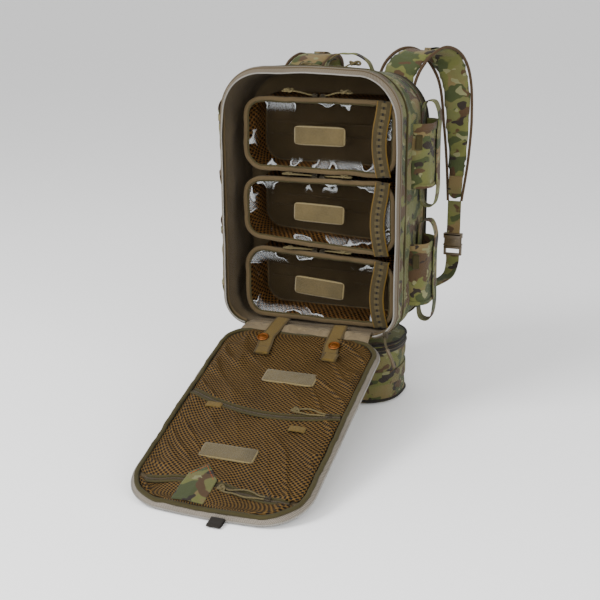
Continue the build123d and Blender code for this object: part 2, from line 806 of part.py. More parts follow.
print("panel slope", round(degrees(SLOPE), 3))
print("main slider", round(MAIN_X, 2), round(MAIN_Z, 2))
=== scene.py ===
import logging
import math
from bisect import bisect_left
from collections.abc import Callable, Sequence
from dataclasses import dataclass
from enum import Enum

import bmesh
import bpy
from mathutils import Matrix, Vector, noise


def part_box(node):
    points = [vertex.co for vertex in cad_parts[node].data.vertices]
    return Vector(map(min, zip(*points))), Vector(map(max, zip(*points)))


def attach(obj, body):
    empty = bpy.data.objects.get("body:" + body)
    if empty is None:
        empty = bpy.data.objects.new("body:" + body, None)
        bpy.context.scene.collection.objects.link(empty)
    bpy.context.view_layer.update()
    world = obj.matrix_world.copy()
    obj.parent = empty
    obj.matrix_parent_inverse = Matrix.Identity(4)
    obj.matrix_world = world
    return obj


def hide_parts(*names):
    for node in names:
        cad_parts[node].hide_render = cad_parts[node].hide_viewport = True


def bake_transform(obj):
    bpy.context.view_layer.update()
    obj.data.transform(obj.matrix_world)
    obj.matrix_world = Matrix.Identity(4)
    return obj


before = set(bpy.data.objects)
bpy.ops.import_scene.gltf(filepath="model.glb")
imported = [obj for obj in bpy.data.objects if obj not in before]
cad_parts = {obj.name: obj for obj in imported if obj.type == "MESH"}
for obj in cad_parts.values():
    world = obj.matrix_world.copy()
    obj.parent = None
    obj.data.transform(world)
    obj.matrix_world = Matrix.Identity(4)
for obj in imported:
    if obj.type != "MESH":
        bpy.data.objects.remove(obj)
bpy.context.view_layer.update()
LOG = logging.getLogger("backpack")
MM = 0.001
X_AXIS = Vector((1, 0, 0)).freeze()
Y_AXIS = Vector((0, 1, 0)).freeze()
Z_AXIS = Vector((0, 0, 1)).freeze()
FORWARD = Vector((0, -1, 0)).freeze()

Place = Callable[[float, float], Vector]
Station = tuple[Vector, Vector, Vector]
Path = Callable[[float], Station]
Section = Callable[[float], tuple[float, float, float]]
Socket = bpy.types.NodeSocket
Group = bpy.types.NodeTree
Piece = bpy.types.Object


# ------------------------------------------------------------------ shapes, in millimetres
def corners_of(node: str) -> tuple[Vector, Vector]:
    """Lowest and highest corner of a frame node, in millimetres."""
    low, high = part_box(node)
    return low / MM, high / MM


def lerp(first: float, last: float, share: float) -> float:
    """Value that lies share of the way from first to last."""
    return first + (last - first) * share


def ease(share: float) -> float:
    """Smooth step from 0 to 1."""
    share = min(max(share, 0.0), 1.0)
    return share * share * (3 - 2 * share)


def ripple(point: Vector, size: float, seed: float) -> float:
    """Smooth noise, about -1 to 1, whose waves are about size long.

    Args:
        point: where the noise is read, in millimetres.
        size: length of a wave, in millimetres.
        seed: number that picks one pattern among many.

    Returns:
        The noise's value.
    """
    return 2.0 * noise.noise(point / size + Vector((seed * 3.1, seed * 1.7, -seed * 2.3)))


class Outline:
    """Closed outline with round corners, from the middle of its first side onwards."""

    TURN_STEPS = 18

    def __init__(self, corners: Sequence[tuple[float, float]], radii: Sequence[float]) -> None:
        """Works out the outline's points and outward normals.

        Args:
            corners: the corners, anticlockwise.
            radii: the radius of each corner, from the second corner round to the first.
        """
        spots = [Vector(corner) for corner in corners]
        self.points = [(spots[0] + spots[1]) / 2]
        side = (spots[1] - spots[0]).normalized()
        self.normals = [Vector((side.y, -side.x))]
        for index, radius in enumerate(radii, start=1):
            corner = spots[index % len(spots)]
            back = (spots[index - 1] - corner).normalized()
            ahead = (spots[(index + 1) % len(spots)] - corner).normalized()
            half = back.angle(ahead) / 2
            centre = corner + (back + ahead).normalized() * radius / math.sin(half)
            reach = radius / math.tan(half)
            first = (corner + back * reach - centre).normalized()
            last = (corner + ahead * reach - centre).normalized()
            for step in range(self.TURN_STEPS + 1):
                normal = first.slerp(last, step / self.TURN_STEPS)
                self.points.append(centre + normal * radius)
                self.normals.append(normal)
        self.points.append(self.points[0].copy())
        self.normals.append(self.normals[0].copy())
        self.marks = [0.0]
        for before, after in zip(self.points, self.points[1:]):
            self.marks.append(self.marks[-1] + (after - before).length)
        self.length = self.marks[-1]

    def at(self, share: float) -> tuple[Vector, Vector]:
        """Point and outward normal at a share of the way round."""
        mark = min(max(share, 0.0), 1.0) * self.length
        index = min(max(bisect_left(self.marks, mark), 1), len(self.marks) - 1)
        gap = self.marks[index] - self.marks[index - 1]
        part = (mark - self.marks[index - 1]) / gap if gap > 0 else 0.0
        point = self.points[index - 1].lerp(self.points[index], part)
        return point, self.normals[index - 1].lerp(self.normals[index], part).normalized()


class Route:
    """Smooth line through a few points, walked by its own length."""

    STEPS = 14

    def __init__(self, points: Sequence[Sequence[float]], closed: bool = False) -> None:
        """Works out the line.

        Args:
            points: the points that the line goes through, in millimetres.
            closed: whether the line goes back to its first point.
        """
        knots = [Vector(point) for point in points]
        count = len(knots)
        spans = count if closed else count - 1

        def knot(index: int) -> Vector:
            """Point of the route, or one past an open end."""
            if closed:
                return knots[index % count]
            if index < 0:
                return knots[0] * 2 - knots[1]
            return knots[index] if index < count else knots[-1] * 2 - knots[-2]

        self.points = [knots[0]]
        for span in range(spans):
            a, b, c, d = (knot(span + step) for step in (-1, 0, 1, 2))
            for step in range(1, self.STEPS + 1):
                t = step / self.STEPS
                bend = (b * 2) + (c - a) * t + (a * 2 - b * 5 + c * 4 - d) * t**2
                self.points.append((bend + (b * 3 - a - c * 3 + d) * t**3) / 2)
        self.marks = [0.0]
        for before, after in zip(self.points, self.points[1:]):
            self.marks.append(self.marks[-1] + (after - before).length)
        self.length = self.marks[-1]

    def at(self, share: float) -> tuple[Vector, Vector]:
        """Point and heading at a share of the way along."""
        mark = min(max(share, 0.0), 1.0) * self.length
        index = min(max(bisect_left(self.marks, mark), 1), len(self.marks) - 1)
        before, after = self.points[index - 1], self.points[index]
        part = (mark - self.marks[index - 1]) / (self.marks[index] - self.marks[index - 1])
        low = self.points[max(index - 2, 0)]
        high = self.points[min(index + 1, len(self.points) - 1)]
        heading = (before - low).lerp(high - after, part) + (after - before)
        return before.lerp(after, part), heading.normalized()

    def path(self, across: Vector | Callable[[float], Vector]) -> Path:
        """Path whose width lies along a direction, or along one that changes on the way."""

        def place(share: float) -> Station:
            """Point of the path with its width and thickness directions."""
            point, heading = self.at(share)
            width = across(share) if callable(across) else across
            width = (width - heading * width.dot(heading)).normalized()
            return point, width, heading.cross(width)

        return place


def round_section(radius: float, bead: float = 0.0) -> Section:
    """Round section of a tube."""

    def section(share: float) -> tuple[float, float, float]:
        """Point of the section and its distance round it."""
        angle = share * math.tau
        return radius * math.cos(angle), radius * math.sin(angle) + bead, share * math.tau * radius

    return section


def flat_section(width: float, thickness: float, power: float = 0.35) -> Section:
    """Section of a flat strip with soft edges; its pattern runs across the width."""

    def section(share: float) -> tuple[float, float, float]:
        """Point of the section and its place across the width."""
        angle = share * math.tau
        across = math.copysign(abs(math.cos(angle)) ** power, math.cos(angle)) * width / 2
        up = math.copysign(abs(math.sin(angle)) ** power, math.sin(angle)) * thickness / 2
        return across, up, across

    return section


WEB_SECTION = flat_section(25, 1.9, 0.3)


class Wall(Enum):
    """How a surface's edges meet."""

    OPEN = "open"
    CLOSED = "closed"


def to_object(name: str, bm: bmesh.types.BMesh) -> Piece:
    """Object at the origin from a mesh in millimetres, which is freed."""
    bmesh.ops.scale(bm, verts=bm.verts, vec=(MM, MM, MM))
    for face in bm.faces:
        face.smooth = True
    mesh = bpy.data.meshes.new(name)
    bm.to_mesh(mesh)
    bm.free()
    piece = bpy.data.objects.new(name, mesh)
    bpy.context.scene.collection.objects.link(piece)
    return piece


def surface(
    name: str, cells: tuple[int, int], place: Place, size: tuple[float, float], wall: Wall = Wall.OPEN,
    thickness: float = 0.0, side: float = -1.0
) -> Piece:
    """Sheet whose points follow a function, with a map in metres.

    Args:
        name: the piece's name.
        cells: number of cells along the two directions.
        place: point for the two shares, each from 0 to 1, in millimetres.
        size: real size of the sheet along the two directions, in millimetres.
        wall: CLOSED turns all faces outwards after the seams are merged.
        thickness: thickness of the cloth, in millimetres.
        side: side that the thickness grows to, -1 inwards or 1 outwards.

    Returns:
        The new object.
    """
    bm = bmesh.new()
    bmesh.ops.create_grid(bm, x_segments=cells[0], y_segments=cells[1], size=0.5)
    chart = bm.loops.layers.uv.new("UVMap")
    for face in bm.faces:
        for loop in face.loops:
            spot = loop.vert.co
            loop[chart].uv = ((spot.x + 0.5) * size[0] * MM, (spot.y + 0.5) * size[1] * MM)
    for vert in bm.verts:
        vert.co = place(vert.co.x + 0.5, vert.co.y + 0.5)
    bmesh.ops.remove_doubles(bm, verts=bm.verts, dist=0.002)
    if wall is Wall.CLOSED:
        bmesh.ops.recalc_face_normals(bm, faces=bm.faces)
    piece = to_object(name, bm)
    if thickness:
        shell = piece.modifiers.new("thickness", "SOLIDIFY")
        shell.thickness = thickness * MM
        shell.offset = side
    return piece


def swept(
    name: str, path: Path, section: Section, steps: tuple[int, int], length: float, ends: bool = True
) -> Piece:
    """Closed section carried along a path, with capped ends.

    Args:
        name: the piece's name.
        path: point, width and thickness directions for a share of the way.
        section: point of the section and its place on the map for a share of the way round.
        steps: number of cells along the path and round the section.
        length: length of the path, in millimetres.
        ends: whether the ends are closed; a path that closes on itself has none.

    Returns:
        The new object.
    """
    bm = bmesh.new()
    bmesh.ops.create_grid(bm, x_segments=steps[0], y_segments=steps[1], size=0.5)
    chart = bm.loops.layers.uv.new("UVMap")
    for face in bm.faces:
        for loop in face.loops:
            across = section(loop.vert.co.y + 0.5)[2]
            loop[chart].uv = ((loop.vert.co.x + 0.5) * length * MM, across * MM)
    frames = {}
    for vert in bm.verts:
        along, share = vert.co.x + 0.5, vert.co.y + 0.5
        if along not in frames:
            frames[along] = path(along)
        origin, width, up = frames[along]
        a, b, _ = section(share)
        vert.co = origin + width * a + up * b
    bmesh.ops.remove_doubles(bm, verts=bm.verts, dist=0.002)
    if ends:
        rims = [edge for edge in bm.edges if edge.is_boundary]
        bmesh.ops.holes_fill(bm, edges=rims, sides=0)
    bmesh.ops.recalc_face_normals(bm, faces=bm.faces)
    return to_object(name, bm)


def block(
    name: str, size: tuple[float, float, float], turn: Matrix, round_off: float, rounds: int = 2
) -> Piece:
    """Rounded block, centred where turn puts it.

    Args:
        name: the piece's name.
        size: the block's three sides, in millimetres.
        turn: matrix that turns the block and moves it to its place.
        round_off: size of its rounded edges, in millimetres.
        rounds: segments of each rounded edge.

    Returns:
        The new object.
    """
    bm = bmesh.new()
    add_block(bm, size, turn, round_off, rounds)
    return to_object(name, bm)


def add_block(
    bm: bmesh.types.BMesh, size: tuple[float, float, float], turn: Matrix, round_off: float, rounds: int = 2
) -> None:
    """Adds a rounded block to a mesh in the making; the arguments are those of block."""
    made = bmesh.ops.create_cube(bm, size=1.0)["verts"]
    bmesh.ops.scale(bm, verts=made, vec=size)
    edges = list({edge for vert in made for edge in vert.link_edges})
    done = bmesh.ops.bevel(
        bm, geom=edges, offset=round_off, segments=rounds, profile=0.5, affect="EDGES", material=-1
    )
    verts = list({vert for face in done["faces"] for vert in face.verts} | set(v for v in made if v.is_valid))
    bmesh.ops.transform(bm, matrix=turn, verts=verts)


def joined(name: str, pieces: Sequence[Piece]) -> Piece:
    """One object made of several, whose own objects are removed.

    Args:
        name: name of the joined piece.
        pieces: the objects, all at the origin.

    Returns:
        The joined object.
    """
    bm = bmesh.new()
    for piece in pieces:
        bm.from_mesh(piece.data)
        bpy.data.objects.remove(piece)
    mesh = bpy.data.meshes.new(name)
    bm.to_mesh(mesh)
    bm.free()
    whole = bpy.data.objects.new(name, mesh)
    bpy.context.scene.collection.objects.link(whole)
    return whole


def basis(origin: Vector, width: Vector, up: Vector) -> Matrix:
    """Matrix whose X is width, whose Z is up and whose origin is the given point."""
    x_axis = width.normalized()
    z_axis = (up - x_axis * up.dot(x_axis)).normalized()
    turn = Matrix((x_axis, z_axis.cross(x_axis), z_axis)).transposed().to_4x4()
    turn.translation = origin
    return turn


# ------------------------------------------------------------------ finishes
DEPTH = 0.42
RICHNESS = 1.2


def tint(code: str) -> tuple[float, float, float, float]:
    """Linear colour of a six-digit colour code, a little deeper than the code's own."""
    parts = [int(code[place : place + 2], 16) / 255 for place in (0, 2, 4)]
    linear = [part / 12.92 if part <= 0.04045 else ((part + 0.055) / 1.055) ** 2.4 for part in parts]
    middle = sum(linear) / 3
    return (*(max(DEPTH * lerp(middle, part, RICHNESS), 0.0) for part in linear), 1.0)


class Tree:
    """Writer of one node tree."""

    def __init__(self, tree: bpy.types.NodeTree) -> None:
        """Starts with an empty tree."""
        self.tree = tree
        tree.nodes.clear()

    def add(self, kind: str, feeds: dict | None = None, **settings: object) -> bpy.types.Node:
        """Adds a node.

        Args:
            kind: the node's type.
            feeds: values or sockets for its inputs, by name or number.
            **settings: the node's own settings.

        Returns:
            The new node.
        """
        node = self.tree.nodes.new(kind)
        for name, value in settings.items():
            setattr(node, name, value)
        for name, value in (feeds or {}).items():
            self.feed(node.inputs[name], value)
        return node

    def feed(self, socket: bpy.types.NodeSocket, value: object) -> None:
        """Links a socket to another, or sets its value."""
        if isinstance(value, bpy.types.NodeSocket):
            self.tree.links.new(value, socket)
        else:
            socket.default_value = value

    def math(self, operation: str, *values: object) -> Socket:
        """Result of a Math node on values or sockets."""
        node = self.tree.nodes.new("ShaderNodeMath")
        node.operation = operation
        for socket, value in zip(node.inputs, values):
            self.feed(socket, value)
        return node.outputs[0]

    def step(self, value: object, low: float, high: float, first: float = 0.0, last: float = 1.0) -> Socket:
        """Value mapped smoothly from low..high to first..last, and held there."""
        feeds = {"Value": value, "From Min": low, "From Max": high, "To Min": first, "To Max": last}
        return self.add("ShaderNodeMapRange", feeds, interpolation_type="SMOOTHSTEP").outputs[0]

    def mix(self, factor: object, first: object, second: object, blend: str = "MIX") -> Socket:
        """Mix of two colours."""
        node = self.add("ShaderNodeMix", data_type="RGBA", blend_type=blend)
        for socket, value in ((0, factor), (6, first), (7, second)):
            self.feed(node.inputs[socket], value)
        return node.outputs[2]

    def noise(self, vector: object, scale: float, detail: float = 2.0, rough: float = 0.5) -> Socket:
        """Value of a noise texture."""
        feeds = {"Vector": vector, "Scale": scale, "Detail": detail, "Roughness": rough}
        return self.add("ShaderNodeTexNoise", feeds).outputs[0]

    def split(self, vector: object) -> bpy.types.NodeOutputs:
        """The three parts of a vector."""
        return self.add("ShaderNodeSeparateXYZ", {0: vector}).outputs

    def object_space(self) -> Socket:
        """Position on the object, in metres."""
        return self.add("ShaderNodeTexCoord").outputs["Object"]

    def chart(self) -> Socket:
        """Position on the piece's own map, in metres."""
        return self.add("ShaderNodeTexCoord").outputs["UV"]

    def group(self, tree: bpy.types.NodeTree, feeds: dict) -> bpy.types.NodeOutputs:
        """Outputs of a shared node group."""
        node = self.tree.nodes.new("ShaderNodeGroup")
        node.node_tree = tree
        for name, value in feeds.items():
            self.feed(node.inputs[name], value)
        return node.outputs


def new_group(
    name: str, inputs: dict[str, tuple[str, object]], outputs: dict[str, str]
) -> tuple[Group, "Tree", bpy.types.Node, bpy.types.Node]:
    """Empty node group with named sockets.

    Args:
        name: the group's name.
        inputs: kind and default of each input, by name.
        outputs: kind of each output, by name.

    Returns:
        The group, its writer, its input node and its output node.
    """
    group = bpy.data.node_groups.new(name, "ShaderNodeTree")
    for label, (kind, value) in inputs.items():
        socket = group.interface.new_socket(label, in_out="INPUT", socket_type=kind)
        if value is not None:
            socket.default_value = value
    for label, kind in outputs.items():
        group.interface.new_socket(label, in_out="OUTPUT", socket_type=kind)
    tree = Tree(group)
    return group, tree, tree.add("NodeGroupInput"), tree.add("NodeGroupOutput")


FLOAT = "NodeSocketFloat"
VECTOR = "NodeSocketVector"
COLOUR = "NodeSocketColor"


def tone_group() -> Group:
    """Uneven tone of dyed and handled cloth: soft patches and small flecks."""
    inputs = {"Colour": (COLOUR, None), "Vector": (VECTOR, None), "Amount": (FLOAT, 0.2)}
    group, tree, feed, out = new_group("uneven_tone", inputs, {"Colour": COLOUR})
    patches = tree.noise(feed.outputs["Vector"], 16.0, 3.0)
    flecks = tree.noise(feed.outputs["Vector"], 420.0, 2.0)
    both = tree.math("ADD", tree.math("MULTIPLY", patches, 0.65), tree.math("MULTIPLY", flecks, 0.35))
    swing = tree.math("MULTIPLY", tree.math("SUBTRACT", both, 0.5), feed.outputs["Amount"])
    gain = tree.math("ADD", tree.math("MULTIPLY", swing, 4.0), 1.0)
    grey = tree.add("ShaderNodeCombineColor", {0: gain, 1: gain, 2: gain}).outputs[0]
    tree.feed(out.inputs[0], tree.mix(1.0, feed.outputs["Colour"], grey, "MULTIPLY"))
    return group


def weave_group() -> Group:
    """Height of a plain weave: threads that pass over and under each other."""
    inputs = {"Vector": (VECTOR, None), "Pitch": (FLOAT, 0.0012)}
    group, tree, feed, out = new_group("plain_weave", inputs, {"Height": FLOAT})
    parts = tree.split(feed.outputs["Vector"])
    turn = tree.math("DIVIDE", math.tau, feed.outputs["Pitch"])
    across = tree.math("ADD", parts[0], tree.math("MULTIPLY", parts[1], 0.62))
    along = tree.math("SUBTRACT", parts[2], tree.math("MULTIPLY", parts[1], 0.71))
    first = tree.math("SINE", tree.math("MULTIPLY", across, turn))
    second = tree.math("SINE", tree.math("MULTIPLY", along, turn))
    tree.feed(out.inputs[0], tree.math("MULTIPLY", first, second))
    return group


def cells_group() -> Group:
    """Staggered open cells of a knitted mesh."""
    inputs = {"Vector": (VECTOR, None), "Pitch": (FLOAT, 0.005), "Open": (FLOAT, 0.2)}
    group, tree, feed, out = new_group("mesh_cells", inputs, {"Hole": FLOAT, "Height": FLOAT})
    wobble = tree.add("ShaderNodeTexNoise", {"Vector": feed.outputs["Vector"], "Scale": 60.0})
    shift = tree.add("ShaderNodeVectorMath", {0: wobble.outputs[1], 1: (0.5, 0.5, 0.5)}, operation="SUBTRACT")
    drift = tree.add("ShaderNodeVectorMath", {0: shift.outputs[0], "Scale": 0.0016}, operation="SCALE")
    spot = tree.add("ShaderNodeVectorMath", {0: feed.outputs["Vector"], 1: drift.outputs[0]})
    parts = tree.split(spot.outputs[0])
    turn = tree.math("DIVIDE", math.tau, feed.outputs["Pitch"])
    first = tree.math("COSINE", tree.math("MULTIPLY", parts[0], turn))
    second = tree.math("COSINE", tree.math("MULTIPLY", parts[1], turn))
    field = tree.math("MULTIPLY", first, second)
    above = tree.math("SUBTRACT", field, feed.outputs["Open"])
    tree.feed(out.inputs["Hole"], tree.step(above, -0.12, 0.18))
    tree.feed(out.inputs["Height"], tree.math("SUBTRACT", 1.0, tree.step(above, -0.6, 0.3)))
    return group


def camo_group() -> Group:
    """Printed pattern of blurred ground colours with sharp blotches laid over them."""
    inputs = {"Vector": (VECTOR, None)}
    group, tree, feed, out = new_group("earth_print", inputs, {"Colour": COLOUR})
    warp = tree.add("ShaderNodeTexNoise", {"Vector": feed.outputs[0], "Scale": 34.0, "Detail": 1.0})
    centred = tree.add("ShaderNodeVectorMath", {0: warp.outputs[1], 1: (0.5, 0.5, 0.5)}, operation="SUBTRACT")
    pull = tree.add("ShaderNodeVectorMath", {0: centred.outputs[0], "Scale": 0.035}, operation="SCALE")
    spot = tree.add("ShaderNodeVectorMath", {0: feed.outputs[0], 1: pull.outputs[0]}).outputs[0]

    def layer(seed: float, scale: float, low: float, soft: float) -> Socket:
        """Mask of one colour's blotches."""
        moved = tree.add("ShaderNodeVectorMath", {0: spot, 1: (seed, seed * 0.6, -seed)})
        return tree.step(tree.noise(moved.outputs[0], scale, 1.0, 0.4), low, low + soft)

    colour = tree.mix(layer(0.3, 9.0, 0.36, 0.26), tint("7a7c50"), tint("8f7c58"))
    colour = tree.mix(layer(1.1, 15.0, 0.50, 0.05), colour, tint("7c7e4c"))
    colour = tree.mix(layer(2.3, 17.0, 0.55, 0.02), colour, tint("4e5634"))
    colour = tree.mix(layer(3.7, 19.0, 0.58, 0.02), colour, tint("5d4832"))
    colour = tree.mix(layer(5.9, 30.0, 0.64, 0.015), colour, tint("362d25"))
    colour = tree.mix(layer(7.3, 34.0, 0.665, 0.015), colour, tint("9c9b74"))
    tree.feed(out.inputs[0], colour)
    return group


def stitch_group() -> Group:
    """Row of stitches: dashes along a line at a set place across the map."""
    inputs = {
        "Along": (FLOAT, 0.0), "Across": (FLOAT, 0.0), "Place": (FLOAT, 0.0), "Pitch": (FLOAT, 0.004),
        "Width": (FLOAT, 0.0006)
    }
    group, tree, feed, out = new_group("stitch_row", inputs, {"Mask": FLOAT})
    off = tree.math("ABSOLUTE", tree.math("SUBTRACT", feed.outputs["Across"], feed.outputs["Place"]))
    near = tree.math("LESS_THAN", off, feed.outputs["Width"])
    turns = tree.math("DIVIDE", feed.outputs["Along"], feed.outputs["Pitch"])
    dash = tree.math("LESS_THAN", tree.math("FRACT", turns), 0.68)
    tree.feed(out.inputs[0], tree.math("MULTIPLY", near, dash))
    return group


TONE = tone_group()
WEAVE = weave_group()
CELLS = cells_group()
CAMO = camo_group()
STITCH = stitch_group()


@dataclass(frozen=True)
class Finish:
    """A finish that makes one material; each kind paints its own nodes."""

    name: str

    def material(self) -> bpy.types.Material:
        """The finish's material, made the first time that it is asked for."""
        name = f"{self.name}_finish"
        made = bpy.data.materials.get(name)
        if made is None:
            made = bpy.data.materials.new(name)
            made.use_nodes = True
            tree = Tree(made.node_tree)
            shader = tree.add("ShaderNodeBsdfPrincipled")
            out = tree.add("ShaderNodeOutputMaterial")
            tree.tree.links.new(shader.outputs[0], out.inputs[0])
            self.paint(tree, shader)
        return made

    def paint(self, tree: Tree, shader: bpy.types.Node) -> None:
        """Sets the shader's inputs."""
        raise NotImplementedError

    def apply(self, piece: Piece) -> None:
        """Gives the finish to a new piece, as its only material."""
        piece.data.materials.clear()
        piece.data.materials.append(self.material())


def bump(tree: Tree, shader: bpy.types.Node, height: object, depth: float, strength: float = 1.0) -> None:
    """Lets a height, in units of depth metres, shape the shader's normal."""
    feeds = {"Strength": strength, "Distance": depth, "Height": height}
    tree.feed(shader.inputs["Normal"], tree.add("ShaderNodeBump", feeds).outputs[0])


@dataclass(frozen=True)
class Camo(Finish):
    """Printed nylon cloth; each piece is cut from another place of the print."""

    shift: tuple[float, float, float] = (0.0, 0.0, 0.0)
    turn: float = 0.0
    dim: float = 1.0

    def paint(self, tree: Tree, shader: bpy.types.Node) -> None:
        """Print, weave and a little sheen."""
        spot = tree.object_space()
        feeds = {"Vector": spot, "Location": self.shift, "Rotation": (0.3, self.turn, 0.4)}
        moved = tree.add("ShaderNodeMapping", {**feeds, "Scale": (1.35, 1.35, 1.9)}).outputs[0]
        colour = tree.group(CAMO, {"Vector": moved})[0]
        colour = tree.mix(1.0, colour, (self.dim, self.dim, self.dim, 1.0), "MULTIPLY")
        colour = tree.group(TONE, {"Colour": colour, "Vector": spot, "Amount": 0.16})[0]
        tree.feed(shader.inputs["Base Color"], colour)
        weave = tree.group(WEAVE, {"Vector": spot, "Pitch": 0.0013})[0]
        folds = tree.noise(spot, 70.0, 3.0)
        bump(tree, shader, tree.math("ADD", tree.math("MULTIPLY", weave, 0.25), folds), 0.0009, 0.8)
        shader.inputs["Roughness"].default_value = 0.82
        shader.inputs["Specular IOR Level"].default_value = 0.22
        shader.inputs["Sheen Weight"].default_value = 0.06
        shader.inputs["Sheen Roughness"].default_value = 0.5


@dataclass(frozen=True)
class Cloth(Finish):
    """Plain dyed cloth."""

    code: str = "6f5f48"
    rough: float = 0.8
    pitch: float = 0.0012
    creases: float = 0.0012
    amount: float = 0.22

    def paint(self, tree: Tree, shader: bpy.types.Node) -> None:
        """Dye, weave and fine creases."""
        spot = tree.object_space()
        feeds = {"Colour": tint(self.code), "Vector": spot, "Amount": self.amount}
        tree.feed(shader.inputs["Base Color"], tree.group(TONE, feeds)[0])
        weave = tree.group(WEAVE, {"Vector": spot, "Pitch": self.pitch})[0]
        folds = tree.noise(spot, 55.0, 4.0)
        bump(tree, shader, tree.math("ADD", tree.math("MULTIPLY", weave, 0.2), folds), self.creases)
        shader.inputs["Roughness"].default_value = self.rough
        shader.inputs["Specular IOR Level"].default_value = 0.18
        shader.inputs["Sheen Weight"].default_value = 0.05


@dataclass(frozen=True)
class Mesh(Finish):
    """Knitted mesh: pale cords round open cells that are painted dark, as painted shade of the space seen
    through them.
    """

    code: str = "8a6232"
    # Colour of the painted shade in the open cells.
    dark: str = "20160c"
    pitch: float = 0.0068
    stretch: float = 1.35
    opening: float = 0.2

    def paint(self, tree: Tree, shader: bpy.types.Node) -> None:
        """Cells along the piece's map; the open cells get painted shade."""
        feeds = {"Vector": tree.chart(), "Scale": (1.0, self.stretch, 1.0)}
        chart = tree.add("ShaderNodeMapping", feeds).outputs[0]
        cells = tree.group(CELLS, {"Vector": chart, "Pitch": self.pitch, "Open": self.opening})
        feeds = {"Colour": tint(self.code), "Vector": tree.object_space(), "Amount": 0.3}
        thread = tree.group(TONE, feeds)[0]
        # Painted shade: the mesh is opaque, and its open cells take the dark colour of the shade seen through
        # them.
        colour = tree.mix(cells["Hole"], thread, tint(self.dark))
        tree.feed(shader.inputs["Base Color"], colour)
        bump(tree, shader, cells["Height"], 0.0011)
        shader.inputs["Roughness"].default_value = 0.62
        shader.inputs["Specular IOR Level"].default_value = 0.15


@dataclass(frozen=True)
class Webbing(Finish):
    """Woven strap: ribs along it, firm edges and, if asked for, a row of eyelets."""

    code: str = "7a6434"
    edge: str = "5c4a24"
    half: float = 0.0125
    ladder: bool = False
    rib: float = 0.0021

    def paint(self, tree: Tree, shader: bpy.types.Node) -> None:
        """Ribs, edges and eyelets along the strap's map; the eyelets are painted dark as the shade seen
        through them.
        """
        parts = tree.split(tree.chart())
        off = tree.math("ABSOLUTE", parts[1])
        edge = tree.step(off, self.half * 0.74, self.half * 0.84)
        colour = tree.mix(edge, tint(self.code), tint(self.edge))
        ribs = tree.math("SINE", tree.math("MULTIPLY", parts[1], math.tau / self.rib))
        cross = tree.math("SINE", tree.math("MULTIPLY", parts[0], math.tau / (self.rib * 0.8)))
        height = tree.math("ADD", tree.math("MULTIPLY", ribs, 0.5), tree.math("MULTIPLY", cross, 0.35))
        if self.ladder:
            turns = tree.math("FRACT", tree.math("DIVIDE", parts[0], 0.0105))
            hole, solid = tree.math("LESS_THAN", turns, 0.42), tree.math("GREATER_THAN", turns, 0.42)
            eyelet = tree.math("MULTIPLY", hole, tree.math("LESS_THAN", off, 0.0017))
            bar = tree.math("MULTIPLY", tree.math("LESS_THAN", off, 0.0045), solid)
            colour = tree.mix(tree.math("MULTIPLY", bar, 0.35), colour, tint("8c7d5a"))
            # Painted shade: each eyelet is painted near-black for the shade seen through the hole.
            colour = tree.mix(eyelet, colour, tint("171410"))
            height = tree.math("SUBTRACT", height, tree.math("MULTIPLY", eyelet, 1.6))
        feeds = {"Colour": colour, "Vector": tree.object_space(), "Amount": 0.3}
        tree.feed(shader.inputs["Base Color"], tree.group(TONE, feeds)[0])
        bump(tree, shader, height, 0.0006)
        shader.inputs["Roughness"].default_value = 0.72
        shader.inputs["Specular IOR Level"].default_value = 0.2
        shader.inputs["Sheen Weight"].default_value = 0.05


@dataclass(frozen=True)
class Pile(Finish):
    """Short loop pile of a label patch, with a sewn edge."""

    code: str = "8c7850"
    size: tuple[float, float] = (0.092, 0.033)

    def paint(self, tree: Tree, shader: bpy.types.Node) -> None:
        """Loops, and a paler sewn border at the edge of the map."""
        parts = tree.split(tree.chart())
        gaps = []
        for part, full in zip(parts, self.size):
            centred = tree.math("ABSOLUTE", tree.math("SUBTRACT", part, full / 2))
            gaps.append(tree.math("SUBTRACT", full / 2, centred))
        rim = tree.math("MINIMUM", gaps[0], gaps[1])
        run = tree.math("ADD", parts[0], parts[1])
        feeds = {"Along": run, "Across": rim, "Place": 0.0018, "Pitch": 0.003, "Width": 0.0006}
        stitches = tree.group(STITCH, feeds)[0]
        spot = tree.object_space()
        loops = tree.noise(spot, 900.0, 3.0, 0.7)
        colour = tree.group(TONE, {"Colour": tint(self.code), "Vector": spot, "Amount": 0.5})[0]
        colour = tree.mix(tree.math("LESS_THAN", rim, 0.0022), colour, tint("8f7f58"))
        colour = tree.mix(stitches, colour, tint("a8966a"))
        tree.feed(shader.inputs["Base Color"], colour)
        bump(tree, shader, tree.math("ADD", loops, stitches), 0.0012)
        shader.inputs["Roughness"].default_value = 0.95
        shader.inputs["Specular IOR Level"].default_value = 0.2
        shader.inputs["Sheen Weight"].default_value = 0.15


